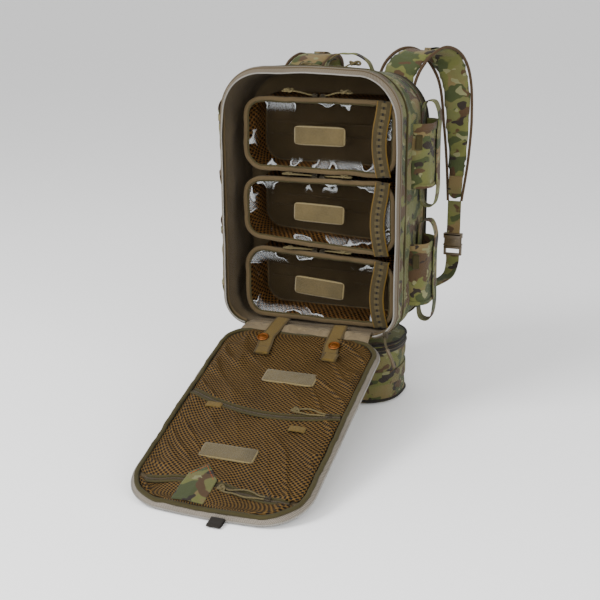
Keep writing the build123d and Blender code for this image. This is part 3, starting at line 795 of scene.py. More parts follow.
@dataclass(frozen=True)
class Film(Finish):
    """Clear flexible film with painted reflections: pale waves of reflected light painted into its opacity
    near its edges.
    """

    def paint(self, tree: Tree, shader: bpy.types.Node) -> None:
        """Clear, with painted reflections near its edges: thin pale waves and broader pale patches of
        reflected light.
        """
        chart = tree.split(tree.chart())
        spot = tree.object_space()
        # Painted reflections: near the edges the film turns partly opaque and pale in waves and patches that
        # stand in for reflected light.
        near = tree.step(chart[1], 0.004, 0.02, 1.0, 0.0)
        wave = tree.noise(spot, 20.0, 2.0, 0.4)
        band = tree.math("ABSOLUTE", tree.math("SUBTRACT", wave, 0.52))
        line = tree.math("MULTIPLY", tree.step(band, 0.004, 0.016, 1.0, 0.0), near)
        sheet = tree.math("MULTIPLY", tree.step(wave, 0.52, 0.58), near)
        painted_reflection = tree.math("ADD", tree.math("MULTIPLY", line, 0.5), tree.math("MULTIPLY", sheet, 0.16))
        tree.feed(shader.inputs["Alpha"], painted_reflection)
        # Pale base colour: the colour of the painted reflections wherever the film is not clear.
        shader.inputs["Base Color"].default_value = tint("dfe4e6")
        tree.feed(shader.inputs["Roughness"], tree.step(tree.noise(spot, 90.0), 0.4, 0.8, 0.06, 0.2))
        shader.inputs["IOR"].default_value = 1.5
        shader.inputs["Specular IOR Level"].default_value = 0.8


@dataclass(frozen=True)
class Coil(Finish):
    """Zip coil or tape: fine teeth across the run."""

    code: str = "c9c2b4"
    # Colour of the painted shade in the troughs between the teeth.
    dark: str = "8f887c"
    pitch: float = 0.0024

    def paint(self, tree: Tree, shader: bpy.types.Node) -> None:
        """Teeth along the map, with a herringbone ground; the troughs between the teeth are painted darker as
        painted shade in the grooves.
        """
        parts = tree.split(tree.chart())
        slant = tree.math("ADD", parts[0], tree.math("MULTIPLY", tree.math("ABSOLUTE", parts[1]), 0.6))
        teeth = tree.math("SINE", tree.math("MULTIPLY", slant, math.tau / self.pitch))
        # Painted shade: the dark colour follows the low parts of the teeth, where shade falls in the grooves.
        colour = tree.mix(tree.step(teeth, -0.9, 0.2), tint(self.dark), tint(self.code))
        feeds = {"Colour": colour, "Vector": tree.object_space(), "Amount": 0.14}
        tree.feed(shader.inputs["Base Color"], tree.group(TONE, feeds)[0])
        bump(tree, shader, teeth, 0.0005)
        shader.inputs["Roughness"].default_value = 0.6


@dataclass(frozen=True)
class Cordage(Finish):
    """Braided cord."""

    code: str = "a08f60"

    def paint(self, tree: Tree, shader: bpy.types.Node) -> None:
        """Braid that runs round the cord at a slant; its low parts are painted dark as painted shade between
        the strands.
        """
        spot = tree.object_space()
        parts = tree.split(spot)
        run = tree.math("ADD", tree.math("ADD", parts[0], parts[1]), parts[2])
        braid = tree.math("SINE", tree.math("MULTIPLY", run, math.tau / 0.0021))
        back = tree.math("SUBTRACT", tree.math("SUBTRACT", parts[0], parts[1]), parts[2])
        other = tree.math("SINE", tree.math("MULTIPLY", back, math.tau / 0.0021))
        height = tree.math("MULTIPLY", braid, other)
        # Painted shade: the dark colour follows the low parts of the braid, where shade falls between the
        # strands.
        colour = tree.mix(tree.step(height, -0.8, 0.6), tint("3f3823"), tint(self.code))
        feeds = {"Colour": colour, "Vector": spot, "Amount": 0.3}
        tree.feed(shader.inputs["Base Color"], tree.group(TONE, feeds)[0])
        bump(tree, shader, height, 0.0004)
        shader.inputs["Roughness"].default_value = 0.7


@dataclass(frozen=True)
class Moulded(Finish):
    """Moulded polymer or painted metal with rubbed spots."""

    code: str = "5f4f35"
    rough: float = 0.45
    metal: float = 0.0
    worn: str = "8b7a58"

    def paint(self, tree: Tree, shader: bpy.types.Node) -> None:
        """Fine grain and rubbed spots."""
        spot = tree.object_space()
        rubbed = tree.step(tree.noise(spot, 140.0, 4.0), 0.58, 0.72)
        colour = tree.mix(tree.math("MULTIPLY", rubbed, 0.6), tint(self.code), tint(self.worn))
        feeds = {"Colour": colour, "Vector": spot, "Amount": 0.1}
        tree.feed(shader.inputs["Base Color"], tree.group(TONE, feeds)[0])
        grain = tree.noise(spot, 900.0, 2.0)
        bump(tree, shader, grain, 0.00012)
        tree.feed(shader.inputs["Roughness"], tree.step(rubbed, 0.0, 1.0, self.rough, self.rough - 0.12))
        shader.inputs["Metallic"].default_value = self.metal


BAG_CAMO = Camo("bag_camo", shift=(0.02, 0.1, 0.05))
POUCH_CAMO = Camo("pouch_camo", shift=(0.4, 0.2, 0.9), turn=0.5)
SLEEVE_CAMO = Camo("sleeve_camo", shift=(1.3, 0.4, 0.3), turn=0.2)
STRAP_CAMO = Camo("strap_camo", shift=(0.7, 1.4, 0.2), turn=1.2)
WEBBING_CAMO = Camo("webbing_camo", shift=(2.1, 0.9, 1.2), turn=1.9, dim=0.9)
TAB_CAMO = Camo("tab_camo", shift=(2.9, 0.3, 0.8), turn=0.9, dim=0.8)
LINING = Cloth("brown_lining", code="6e5f47")
MODULE_BACKING = Cloth("module_backing", code="4a3d27", creases=0.0008)
BINDING = Cloth("tan_binding", code="64553d", pitch=0.0016, creases=0.0008)
OLIVE_BINDING = Cloth("olive_binding", code="484125", pitch=0.0016, creases=0.0009)
BROWN_BINDING = Cloth("brown_binding", code="594632", pitch=0.0016, creases=0.0009)
DARK_BINDING = Cloth("dark_binding", code="2a2620", pitch=0.0016, creases=0.0006)
GUSSET_CLOTH = Cloth("gusset_cloth", code="94846a", creases=0.0016)
# The dark colours of the three meshes are painted shade in their open cells.
SPACER = Mesh("spacer_mesh", code="5c4f35", dark="2a2318", pitch=0.0046, opening=0.35)
PANEL_MESH = Mesh("pocket_mesh", code="745a35", dark="070502", pitch=0.0078, stretch=1.25, opening=0.04)
SIDE_MESH = Mesh("side_mesh", code="82603c", dark="070502", pitch=0.0084, stretch=0.5, opening=0.06)
STRAP_WEB = Webbing("coyote_webbing")
LADDER_WEB = Webbing("ladder_webbing", code="51462c", edge="84682f", half=0.0140, ladder=True)
PATCH = Pile("loop_patch", code="6a5d40")
PANEL_PATCH = Pile("panel_loop_patch", code="6b5f43")
FILM = Film("clear_film")
# The dark colours of the zip finishes are painted shade in the troughs between their teeth.
TAPE = Coil("zip_tape", code="8d806d", dark="6f6555", pitch=0.003)
PANEL_TAPE = Coil("panel_zip_tape", code="aba193", dark="8d8477", pitch=0.003)
RIM_COIL = Coil("zip_coil", code="cdc8bf", dark="8f8a81")
DARK_COIL = Coil("dark_coil", code="5d4e35", dark="2c2418", pitch=0.002)
CORD = Cordage("khaki_cord")
THICK_CORD = Cordage("olive_cord", code="6a5f3a")
POLYMER = Moulded("coyote_polymer")
SLIDER_METAL = Moulded("slider_paint", code="453c2a", rough=0.42, metal=0.5, worn="8a8270")
COPPER = Moulded("copper_stud", code="a5683c", rough=0.34, metal=0.7, worn="c08a5c")
TACK = Cloth("orange_thread", code="c4622a", creases=0.0005)


def dress(piece: Piece, finish: Finish, slot: str, body: str, *nodes: str) -> Piece:
    """Gives a piece its finish and its body, and hides the frame nodes that it stands for."""
    finish.apply(piece)
    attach(piece, body)
    if nodes:
        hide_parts(*nodes)
    return piece


# ------------------------------------------------------------------ sub-assemblies
class Bag:
    """Main bag: its shell, lining, zip tape and piping, all round one outline."""

    TOP_RADIUS = 78
    BOTTOM_RADIUS = 50
    CROWN = 6
    CROWN_RADIUS = 900
    PIPING_DEPTHS = (-112.0, 12.0)
    GAP_HALF = 120.0

    def __init__(self) -> None:
        """Reads the bag's sizes from the frame."""
        low, high = corners_of("main_shell")
        self.half = high.x
        self.bottom = low.z
        self.top = high.z
        self.front = low.y
        self.rear = high.y
        self.rear_top = corners_of("back_panel")[1].z
        self.divider = corners_of("shell_lining")[1].y
        self.front_line = self.outline(self.top)
        self.rear_line = self.outline(self.rear_top)

    def outline(self, top: float) -> Outline:
        """Outline of the bag's section whose crown is at a height."""
        half, shoulder = self.half, top - self.CROWN
        corners = ((-half, self.bottom), (half, self.bottom), (half, shoulder), (0, top), (-half, shoulder))
        low, high = self.BOTTOM_RADIUS, self.TOP_RADIUS
        return Outline(corners, (low, high, self.CROWN_RADIUS, high, low))

    def point(self, share: float, depth: float, outset: float = 0.0) -> Vector:
        """Point of the wall.

        Args:
            share: share of the way round, from the middle of the bottom towards +X.
            depth: place along Y, in millimetres.
            outset: distance outwards from the wall.

        Returns:
            The point, in millimetres.
        """
        part = (depth - self.front) / (self.rear - self.front)
        first, normal = self.front_line.at(share)
        last, _ = self.rear_line.at(share)
        spot = first.lerp(last, part) + normal * outset
        return Vector((spot.x, depth, spot.y))

    def ring(self, depth: float, outset: float, wave: float = 0.0, gap: float = 0.0) -> Path:
        """Path round the wall at a depth; gap leaves that much open on each side of the bottom."""
        skip = gap / self.front_line.length

        def path(share: float) -> Station:
            """Point on the ring, with the outward and the rearward direction."""
            along = lerp(skip, 1 - skip, share)
            spot = self.point(along, depth, outset)
            spot = self.point(along, depth, outset + wave * ripple(spot, 45, 2.0))
            _, normal = self.front_line.at(along)
            return spot, Vector((normal.x, 0, normal.y)), Y_AXIS

        return path

    def wall_offset(self, share: float, depth: float) -> float:
        """How far the cloth of the wall stands out, with its folds."""
        spot = self.point(share, depth)
        part = (depth - self.front) / (self.rear - self.front)
        slack = math.sin(math.pi * min(max(part, 0.0), 1.0))
        folds = 2.4 * ripple(spot, 75, 1.0) + 1.3 * ripple(spot, 30, 4.0)
        crease = math.exp(-(((depth + 92 + 7 * ripple(spot, 90, 6.0)) / 5) ** 2))
        sunk = 2.2 * crease * (0.7 + 0.3 * ripple(spot, 40, 8.0))
        return max(slack * (folds + 0.8) - sunk, -1.0)

    def build_shell(self) -> None:
        """Outer cloth, its piping, and the zip of the rear compartment."""
        depth = self.rear - self.front

        def place(share: float, part: float) -> Vector:
            """Point of the outer cloth."""
            y = lerp(self.front + 0.5, self.rear, part)
            return self.point(share, y, self.wall_offset(share, y))

        size = (self.front_line.length, depth)
        cloth = surface("shell_cloth", (300, 40), place, size, thickness=2.0, side=1.0)
        dress(cloth, BAG_CAMO, "camo_fabric", "root", "main_shell")
        for number, y in enumerate(self.PIPING_DEPTHS, start=1):
            path = self.ring(y, 1.2, 0.5)
            piping = swept(f"shell_piping_{number}", path, round_section(1.9), (300, 10), size[0], ends=False)
            dress(piping, OLIVE_BINDING, "piping", "root")
        zip_low, zip_high = corners_of("rear_zip")
        middle = (zip_low.y + zip_high.y) / 2
        skip = self.share_at_height(zip_low.z)

        def zip_path(share: float) -> Station:
            """Point of the rear zip, over the top from side to side."""
            along = lerp(skip, 1 - skip, share)
            spot = self.point(along, middle, 0.9)
            _, normal = self.front_line.at(along)
            return spot, Y_AXIS, Vector((normal.x, 0, normal.y))

        length = self.front_line.length * (1 - 2 * skip)
        tape = swept("rear_zip_tape", zip_path, flat_section(zip_high.y - zip_low.y, 1.4), (220, 12), length)
        coil = swept("rear_zip_coil", zip_path, round_section(1.5, 0.7), (900, 8), length)
        dress(tape, OLIVE_BINDING, "webbing", "root", "rear_zip")
        dress(coil, DARK_COIL, "zip_tape", "root")
        hood = self.ring_strip(middle - 9.5, 7.0, 1.6, skip)
        dress(hood, WEBBING_CAMO, "camo_fabric", "root")

    def ring_strip(self, depth: float, width: float, outset: float, skip: float) -> Piece:
        """Storm flap along the rear zip."""

        def path(share: float) -> Station:
            """Point of the flap."""
            along = lerp(skip, 1 - skip, share)
            spot = self.point(along, depth, outset)
            lift = 0.6 * ripple(spot, 35, 9.0)
            _, normal = self.front_line.at(along)
            out = Vector((normal.x, 0, normal.y))
            return spot + out * lift, Vector((0, 1, 0.0)), out

        length = self.front_line.length * (1 - 2 * skip)
        return swept("rear_zip_flap", path, flat_section(width, 1.6), (260, 12), length)

    def share_at_height(self, height: float) -> float:
        """Share of the way round at which the right-hand wall reaches a height."""
        low, high = 0.1, 0.45
        for _ in range(30):
            middle = (low + high) / 2
            if self.front_line.at(middle)[0].y < height:
                low = middle
            else:
                high = middle
        return low

    def build_lining(self) -> None:
        """Inner cloth: the side wall and, behind the modules, the divider."""
        turn = 0.5
        middle = Vector((0, 0, (self.bottom + self.top) / 2))

        def place(share: float, part: float) -> Vector:
            """Point of the lining, from the rim to the middle of the divider."""
            deep = min(part / turn, 1.0)
            y = lerp(self.front + 3, self.divider - 2.6, deep)
            spot = self.point(share, y)
            slack = math.sin(math.pi * min(deep * 1.05, 1.0))
            fold = 3.2 * ripple(spot, 70, 11.0) + 1.8 * ripple(spot, 26, 12.0) + 1.0
            spot = self.point(share, y, -4.6 - max(slack * fold, -0.3))
            if part > turn:
                inwards = (part - turn) / (1 - turn)
                flat = Vector((0, spot.y, middle.z))
                spot = spot.lerp(flat, inwards)
                spot.y += 0.5 * ripple(spot, 60, 13.0) * math.sin(math.pi * inwards)
            return spot

        size = (self.front_line.length, 2 * (self.divider - self.front))
        lining = surface("lining_cloth", (260, 56), place, size, thickness=1.0)
        dress(lining, LINING, "lining_fabric", "root", "shell_lining")

    def flare(self, share: float, part: float) -> Vector:
        """Point of the zip tape: it stands forward of the rim and leans inwards."""
        spot, normal = self.front_line.at(share)
        lean = lerp(6.0, 11.0, ease((spot.y - 480) / 110))
        rim = self.point(share, self.front + 1, 0.4)
        wave = 0.8 * ripple(rim, 50, 14.0) * part
        out = Vector((normal.x, 0, normal.y))
        bow = 1.6 * math.sin(math.pi * part)
        return rim - out * (lean * part - wave - bow) + Vector((0, -10.5 * part - bow * 0.4, 0))

    def build_rim(self) -> None:
        """Zip tape, its coil, the piping inside it and the binding of the lining's edge."""
        skip = self.GAP_HALF / self.front_line.length
        length = self.front_line.length - 2 * self.GAP_HALF

        def tape(share: float, part: float) -> Vector:
            """Point of the tape."""
            return self.flare(lerp(skip, 1 - skip, share), part)

        def edge(inset: float) -> Path:
            """Path along the tape, inset from its free edge."""

            def path(share: float) -> Station:
                """Point of the tape's edge."""
                along = lerp(skip, 1 - skip, share)
                spot = self.flare(along, 1 - inset)
                _, normal = self.front_line.at(along)
                return spot, Vector((normal.x, 0, normal.y)), Y_AXIS

            return path

        cloth = surface("rim_tape_cloth", (330, 8), tape, (length, 17), thickness=1.2)
        dress(cloth, TAPE, "zip_tape", "root", "rim_tape")
        coil = swept("rim_coil", edge(0.03), round_section(1.3), (1500, 7), length)
        dress(coil, RIM_COIL, "zip_tape", "root")
        seam = swept("rim_tape_seam", edge(0.62), round_section(0.9), (330, 6), length)
        dress(seam, BINDING, "piping", "root")
        path = self.ring(self.front + 2.0, -5.0, 0.6, self.GAP_HALF)
        piping = swept("lining_binding", path, flat_section(5.5, 6.5, 0.7), (330, 10), length)
        dress(piping, BINDING, "piping", "root")

    def build_inside(self) -> None:
        """Frame sheet and stays, which the back compartment hides."""
        sheet = Moulded("sheet_polymer", code="26241f")
        stays = Moulded("stay_alloy", code="b5b6b8", rough=0.35, metal=1.0, worn="d4d5d7")
        for node, finish in (("frame_sheet", sheet), ("frame_stays", stays)):
            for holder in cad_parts[node].material_slots:
                holder.material = finish.material()

    def build(self) -> None:
        """Builds all of the bag."""
        self.build_shell()
        self.build_lining()
        self.build_rim()
        self.build_inside()
        LOG.info("bag: shell, lining, rim")


@dataclass
class Settle:
    """How a module's corners have moved as it hangs in the bag, in millimetres."""

    shift: float
    top_left: float
    top_right: float
    bottom_left: float
    bottom_right: float
    patch_turn: float
    seed: float


class Module:
    """Clear-fronted organiser: mesh box, bound lid, film, carry webbing and patch."""

    HALF = 138.0
    HEIGHT = 124.0
    RADIUS = 35.0
    BORDER = 7.4

    def __init__(self, number: int, settle: Settle) -> None:
        """Reads the module's place from the frame.

        Args:
            number: the module's number, from the top.
            settle: how it has settled.
        """
        self.number = number
        self.settle = settle
        low, high = corners_of(f"module_shell_{number}")
        self.middle = (low.x + high.x) / 2
        self.bottom = low.z
        self.back = high.y
        self.front = corners_of(f"module_window_{number}")[0].y - 2.6
        self.module = f"module_{number}"
        self.lid = f"lid_{number}"
        top = self.bottom + self.HEIGHT
        left, right = self.middle - self.HALF, self.middle + self.HALF
        corners = ((left, self.bottom), (right, self.bottom), (right, top), (left, top))
        self.line = Outline(corners, (self.RADIUS,) * 4)

    def settled(self, spot: Vector) -> Vector:
        """Where a point of the module lies now that it has settled."""
        across = min(max((spot.x - self.middle + self.HALF) / (2 * self.HALF), 0), 1)
        up = min(max((spot.z - self.bottom) / self.HEIGHT, 0), 1)
        low = lerp(self.settle.bottom_left, self.settle.bottom_right, across)
        high = lerp(self.settle.top_left, self.settle.top_right, across)
        return spot + Vector((self.settle.shift, 0, lerp(low, high, up)))

    def rim(self, share: float, depth: float, inset: float) -> tuple[Vector, Vector]:
        """Settled point of the module's outline and its outward direction."""
        spot, normal = self.line.at(share)
        out = Vector((normal.x, 0, normal.y))
        point = Vector((spot.x, depth, spot.y)) - out * inset
        return self.settled(point), out

    def ring(self, depth: float, inset: float, wave: float) -> Path:
        """Path round the module at a depth."""

        def path(share: float) -> Station:
            """Point of the ring, with the outward and the rearward direction."""
            spot, out = self.rim(share, depth, inset)
            seed = self.settle.seed
            spot += out * (wave * ripple(spot, 32, seed) + wave * 0.6 * ripple(spot, 14, seed + 1))
            spot.y += wave * ripple(spot, 40, seed + 2)
            return spot, out, Y_AXIS

        return path

    def build_box(self) -> None:
        """Mesh sides and the cloth back, with its seams."""
        seed = self.settle.seed
        start = self.front + 5.5

        def side(share: float, part: float) -> Vector:
            """Point of the mesh side."""
            depth = lerp(start, self.back - 1.5, part)
            spot, out = self.rim(share, depth, 2.5)
            slack = math.sin(math.pi * part)
            sag = 2.0 * ripple(spot, 55, seed) + 1.2 * ripple(spot, 24, seed + 3) - 1.4
            return spot + out * slack * sag

        def rear(share: float, part: float) -> Vector:
            """Point of the back, from its edge to the middle."""
            spot, _ = self.rim(share, self.back - 1.4, 2.5)
            centre = self.settled(Vector((self.middle, self.back - 1.4, self.bottom + self.HEIGHT / 2)))
            reach = self.line.at(share)[0].x - self.middle
            spread = max(self.HALF - self.HEIGHT / 2, 0)
            centre.x += min(max(reach, -spread), spread)
            spot = spot.lerp(centre, part)
            wave = 1.4 * ripple(spot, 50, seed + 5) + 0.8 * ripple(spot, 22, seed + 6)
            spot.y -= (1.4 + wave) * math.sin(math.pi * min(part, 0.5))
            return spot

        length = self.line.length
        sizes = (length, self.back - start)
        mesh = surface(f"module_{self.number}_sides", (200, 20), side, sizes, thickness=0.9)
        dress(mesh, SIDE_MESH, "mesh", self.module, f"module_shell_{self.number}")
        sizes = (length, self.HEIGHT / 2)
        backing = surface(f"module_{self.number}_back", (160, 14), rear, sizes, thickness=0.8, side=1.0)
        dress(backing, MODULE_BACKING, "lining_fabric", self.module)
        for name, share in (("low", 0.40), ("high", 0.57)):
            height = self.bottom + self.HEIGHT * share
            reach = self.HALF - 14

            def strip(
                part: float, height: float = height, reach: float = reach
            ) -> Station:
                """Point of a seam across the back."""
                spot = Vector((self.middle + lerp(-reach, reach, part), self.back - 4.4, height))
                spot.y += 1.3 * ripple(spot, 60, seed + 7)
                return self.settled(spot), Z_AXIS, FORWARD

            seam = swept(
                f"module_{self.number}_seam_{name}", strip, flat_section(2.6, 1.0), (60, 8), 2 * reach
            )
            dress(seam, MODULE_BACKING, "lining_fabric", self.module)
        path = self.ring(self.back - 2.4, 2.2, 0.5)
        name = f"module_{self.number}_rear_binding"
        edge = swept(name, path, round_section(2.2), (200, 8), length, ends=False)
        dress(edge, BINDING, "piping", self.module)
        path = self.ring(start + 0.6, 1.2, 0.3)
        coil = swept(f"module_{self.number}_zip", path, round_section(1.3), (700, 6), length, ends=False)
        dress(coil, DARK_COIL, "zip_tape", self.module)

    def build_lid(self) -> None:
        """Bound frame, its inner seam, the film, the carry webbing and the patch."""
        number, seed = self.number, self.settle.seed
        length = self.line.length
        path = self.ring(self.front + 2.2, self.BORDER / 2, 0.7)
        section = flat_section(self.BORDER, 4.6, 0.62)
        border = swept(f"module_{number}_binding", path, section, (260, 14), length, ends=False)
        dress(border, BINDING, "piping", self.lid, f"module_frame_{number}")
        path = self.ring(self.front + 3.0, self.BORDER + 0.8, 0.7)
        inner = swept(f"module_{number}_inner_seam", path, round_section(1.5), (260, 8), length, ends=False)
        dress(inner, OLIVE_BINDING, "piping", self.lid)

        def film(share: float, part: float) -> Vector:
            """Point of the film, from the seam to the middle line."""
            spot, _ = self.rim(share, self.front + 3.4, self.BORDER + 0.4)
            reach = self.line.at(share)[0].x - self.middle
            spread = self.HALF - self.HEIGHT / 2
            centre = self.settled(Vector((self.middle, spot.y, self.bottom + self.HEIGHT / 2)))
            centre.x += min(max(reach, -spread), spread)
            spot = spot.lerp(centre, part)
            loose = math.sin(math.pi * min(part * 1.6, 0.5))
            low = ease((self.bottom + self.HEIGHT * 0.42 - spot.z) / 45)
            wave = 1.5 * ripple(spot, 62, seed + 8) + low * 2.2 * ripple(spot, 30, seed + 9)
            spot.y += loose * (wave + 1.0)
            return spot

        window = surface(f"module_{number}_film", (260, 40), film, (length, 60), thickness=0.5)
        dress(window, FILM, "clear_film", self.lid, f"module_window_{number}")
        self.build_ladder()
        self.build_patch()

    def build_ladder(self) -> None:
        """Carry webbing down the right-hand side of the lid."""
        x = self.middle + 113
        low, high = self.bottom + 3, self.bottom + self.HEIGHT - 3
        bow = (3.0, -1.5, -4.5, -5.0, -3.0, 0.5, 3.0)
        points = []
        for index, sway in enumerate(bow):
            height = lerp(low, high, index / (len(bow) - 1))
            lift = -2.8 - 1.6 * math.sin(math.pi * index / (len(bow) - 1))
            points.append(self.settled(Vector((x + sway, self.front + 1.6 + lift, height))))
        points = [points[0] + Vector((0, 1.2, -1))] + points + [points[-1] + Vector((0, 3.5, 1))]
        route = Route(points)
        strip = swept(
            f"module_{self.number}_ladder", route.path(X_AXIS), flat_section(26, 1.9, 0.3),
            (90, 16), route.length
        )
        dress(strip, LADDER_WEB, "webbing", self.lid)

    def build_patch(self) -> None:
        """Label patch on the film, a little askew."""
        centre = self.settled(Vector((self.middle + 2, self.front + 1.6, self.bottom + self.HEIGHT / 2)))
        turn = math.radians(-self.settle.patch_turn)
        width = Vector((math.cos(turn), 0, math.sin(turn)))
        patch = soft_patch(f"module_{self.number}_patch", centre, width, FORWARD, (92, 33), 2.0)
        dress(patch, PATCH, "hook_loop", self.lid)

    def build(self) -> None:
        """Builds all of the module."""
        self.build_box()
        self.build_lid()
        LOG.info("module %d: box, lid, webbing, patch", self.number)


def soft_patch(
    name: str, centre: Vector, width: Vector, up: Vector, size: tuple[float, float], thickness: float
) -> Piece:
    """Rectangular patch with round corners and soft edges.

    Args:
        name: the piece's name.
        centre: middle of its underside.
        width: direction of its long side.
        up: direction that it faces.
        size: its two sides, in millimetres.
        thickness: its thickness, in millimetres.

    Returns:
        The new object, with a map over its face in metres.
    """
    turn = basis(centre, width, up)

    def place(share: float, part: float) -> Vector:
        """Point of the patch's face, which falls to its edge."""
        x, y = (share - 0.5) * 2, (part - 0.5) * 2
        power = 8
        pull = 1.0
        if max(abs(x), abs(y)) > 0.8:
            pull = min((abs(x) ** power + abs(y) ** power) ** (-1 / power), 1.0)
        fall = 1 - max(abs(x) ** 24, abs(y) ** 12)
        wave = 0.25 * ripple(Vector((x * 40, y * 15, 0)), 14, size[0])
        spot = Vector((x * pull * size[0] / 2, y * pull * size[1] / 2, 0.3 + (thickness - 0.3 + wave) * fall))
        return turn @ spot

    return surface(name, (46, 18), place, size, thickness=0.9)


@dataclass
class Panel:
    """Front panel, folded down: its tray, pockets, zips, trims and the cloth of its hinge."""

    hinge_y: float = -144.5
    hinge_z: float = 148.0
    rise: float = 7.5
    start: float = 10.0
    end: float = 458.0
    half: float = 147.5
    thick: float = 10.0
    start_radius: float = 50.0
    tip_radius: float = 74.0
    crown: float = 8.0
    stud_scale: float = 1.7
    body: str = "panel"

    def __post_init__(self) -> None:
        """Works out the panel's slope and its outline."""
        drop = self.rise - self.thick
        slope = math.asin(self.hinge_z / math.hypot(self.end, drop)) + math.atan2(drop, self.end)
        self.inward = Vector((0, -math.sin(slope), math.cos(slope)))
        self.along = Vector((0, -math.cos(slope), -math.sin(slope)))
        self.origin = Vector((0, self.hinge_y, self.hinge_z)) + self.inward * self.rise
        side, tip = self.end - self.crown, self.end
        corners = ((-self.half, self.start), (self.half, self.start), (self.half, side), (0, tip))
        corners += ((-self.half, side),)
        low, high = self.start_radius, self.tip_radius
        self.line = Outline(corners, (low, high, 900, high, low))

    def on(self, x: float, along: float, height: float) -> Vector:
        """Point across the panel, along it from its hinge and above its rim plane."""
        return self.origin + Vector((x, 0, 0)) + self.along * along + self.inward * height

    def flat(self, spot: Vector, height: float) -> Vector:
        """Point above a spot of the panel's outline plane."""
        return self.on(spot.x, spot.y, height)

    def half_at(self, along: float, inset: float) -> float:
        """Half of the panel's width at a distance along it."""
        half = self.half - inset
        first, last = self.start + inset, self.end - 4 - inset
        low, high = self.start_radius - inset, self.tip_radius - inset
        if along < first + low:
            reach = min(max(first + low - along, 0), low)
            return half - low + math.sqrt(low * low - reach * reach)
        if along > last - high:
            reach = min(max(along - last + high, 0), high)
            return half - high + math.sqrt(high * high - reach * reach)
        return half

    def ring(self, inset: float, height: float, wave: float) -> Path:
        """Path round the panel."""

        def path(share: float) -> Station:
            """Point of the ring, with the outward and the upward direction."""
            spot, normal = self.line.at(share)
            base = Vector((spot.x, spot.y, 0))
            sway = wave * (ripple(base, 30, 21.0) + 0.6 * ripple(base, 12, 22.0))
            spot = spot - normal * (inset - sway)
            lift = wave * ripple(base, 38, 23.0)
            out = Vector((normal.x, 0, 0)) + self.along * normal.y
            return self.flat(spot, height + lift), out, self.inward

        return path

    def build_tray(self) -> None:
        """Outer cloth, the lining inside it, the binding and the zip tape round them."""
        length = self.line.length

        def cloth(share: float, part: float) -> Vector:
            """Point of the outer cloth, from its rim down its side and under the panel."""
            spot, normal = self.line.at(share)
            wall = 0.08
            if part < wall:
                deep = part / wall
                spot = spot - normal * (8.5 + 1.5 * ease(deep) * deep)
                return self.flat(spot, lerp(1.0, -self.thick + 1.2, deep))
            inner = (part - wall) / (1 - wall)
            spot = spot - normal * 10.0
            spine = Vector((0, min(max(spot.y, 150), 310)))
            spot = spot.lerp(spine, inner)
            base = Vector((spot.x, spot.y, 0))
            sag = 1.2 * ripple(base, 80, 24.0) + 0.7 * ripple(base, 32, 25.0) + 0.6
            return self.flat(spot, -self.thick + 0.6 + max(sag, -0.4) * ease(inner * 4))

        tray = surface("panel_cloth", (260, 60), cloth, (length, 150), thickness=1.4)
        dress(tray, BAG_CAMO, "camo_fabric", self.body, "front_panel")

        def lining(share: float, part: float) -> Vector:
            """Point of the lining."""
            spot, normal = self.line.at(share)
            spot = spot - normal * 11.0
            spot = spot.lerp(Vector((0, min(max(spot.y, 150), 310))), part)
            return self.flat(spot, -3.4 + 0.3 * ripple(Vector((spot.x, spot.y, 0)), 40, 26.0))

        inner = surface("panel_lining_cloth", (200, 24), lining, (length, 140), thickness=0.8)
        dress(inner, LINING, "lining_fabric", self.body, "panel_lining")
        edge = swept(
            "panel_binding", self.ring(9.6, 1.6, 0.9), flat_section(7.5, 5.4, 0.75), (380, 14), length,
            ends=False
        )
        dress(edge, OLIVE_BINDING, "piping", self.body)

        def tape(share: float, part: float) -> Vector:
            """Point of the zip tape, which falls away outwards from the binding."""
            spot, normal = self.line.at(share)
            base = Vector((spot.x, spot.y, 0))
            wave = 0.6 * ripple(base, 40, 27.0)
            spot = spot - normal * lerp(7.6, 0.9 - wave, part)
            return self.flat(spot, lerp(0.2, -7.0 + wave, part**1.2))

        strip = surface("panel_tape_cloth", (330, 8), tape, (length, 10), thickness=1.0)
        dress(strip, PANEL_TAPE, "zip_tape", self.body, "panel_tape")

        def coil_path(share: float) -> Station:
            """Point of the coil, on the tape's free edge."""
            _, normal = self.line.at(share)
            return tape(share, 0.97), Vector((normal.x, 0, 0)) + self.along * normal.y, self.inward

        coil = swept("panel_coil", coil_path, round_section(1.3), (1500, 7), length, ends=False)
        dress(coil, RIM_COIL, "zip_tape", self.body)

    @staticmethod
    def upper_line(x: float) -> float:
        """How far along the panel the upper pocket's zip lies."""
        return -0.00157 * x * x + 0.0588 * x + 233.3

    @staticmethod
    def lower_line(x: float) -> float:
        """How far along the panel the lower pocket's zip lies."""
        marks = ((-140, 397), (-106, 408), (-58, 398), (0, 399), (45, 408), (85, 412), (116, 411), (140, 404))
        for (left, first), (right, last) in zip(marks, marks[1:]):
            if x <= right:
                return lerp(first, last, ease((x - left) / (right - left)))
        return marks[-1][1]

    def pocket_height(self, x: float, along: float) -> float:
        """Height of the mesh above the rim plane, with its folds."""
        base = Vector((x, along, 0))
        slack = 1.2 * ripple(base, 75, 31.0) + 1.0 * ripple(base, 30, 32.0)
        diagonal = Vector(((x + along) * 0.3, (x - along) * 0.95, 0))
        crease = 1 - min(abs(ripple(diagonal, 46, 33.0)) * 3.2, 1.0)
        side = ease((abs(x) - 40) / 60)
        return 3.6 + slack * 1.2 + (1.2 + 3.4 * side) * crease

    def build_pocket(self, name: str, first: Callable, last: Callable, cells: int, *nodes: str) -> None:
        """One pocket of mesh between two lines across the panel."""
        reach = self.half - 15

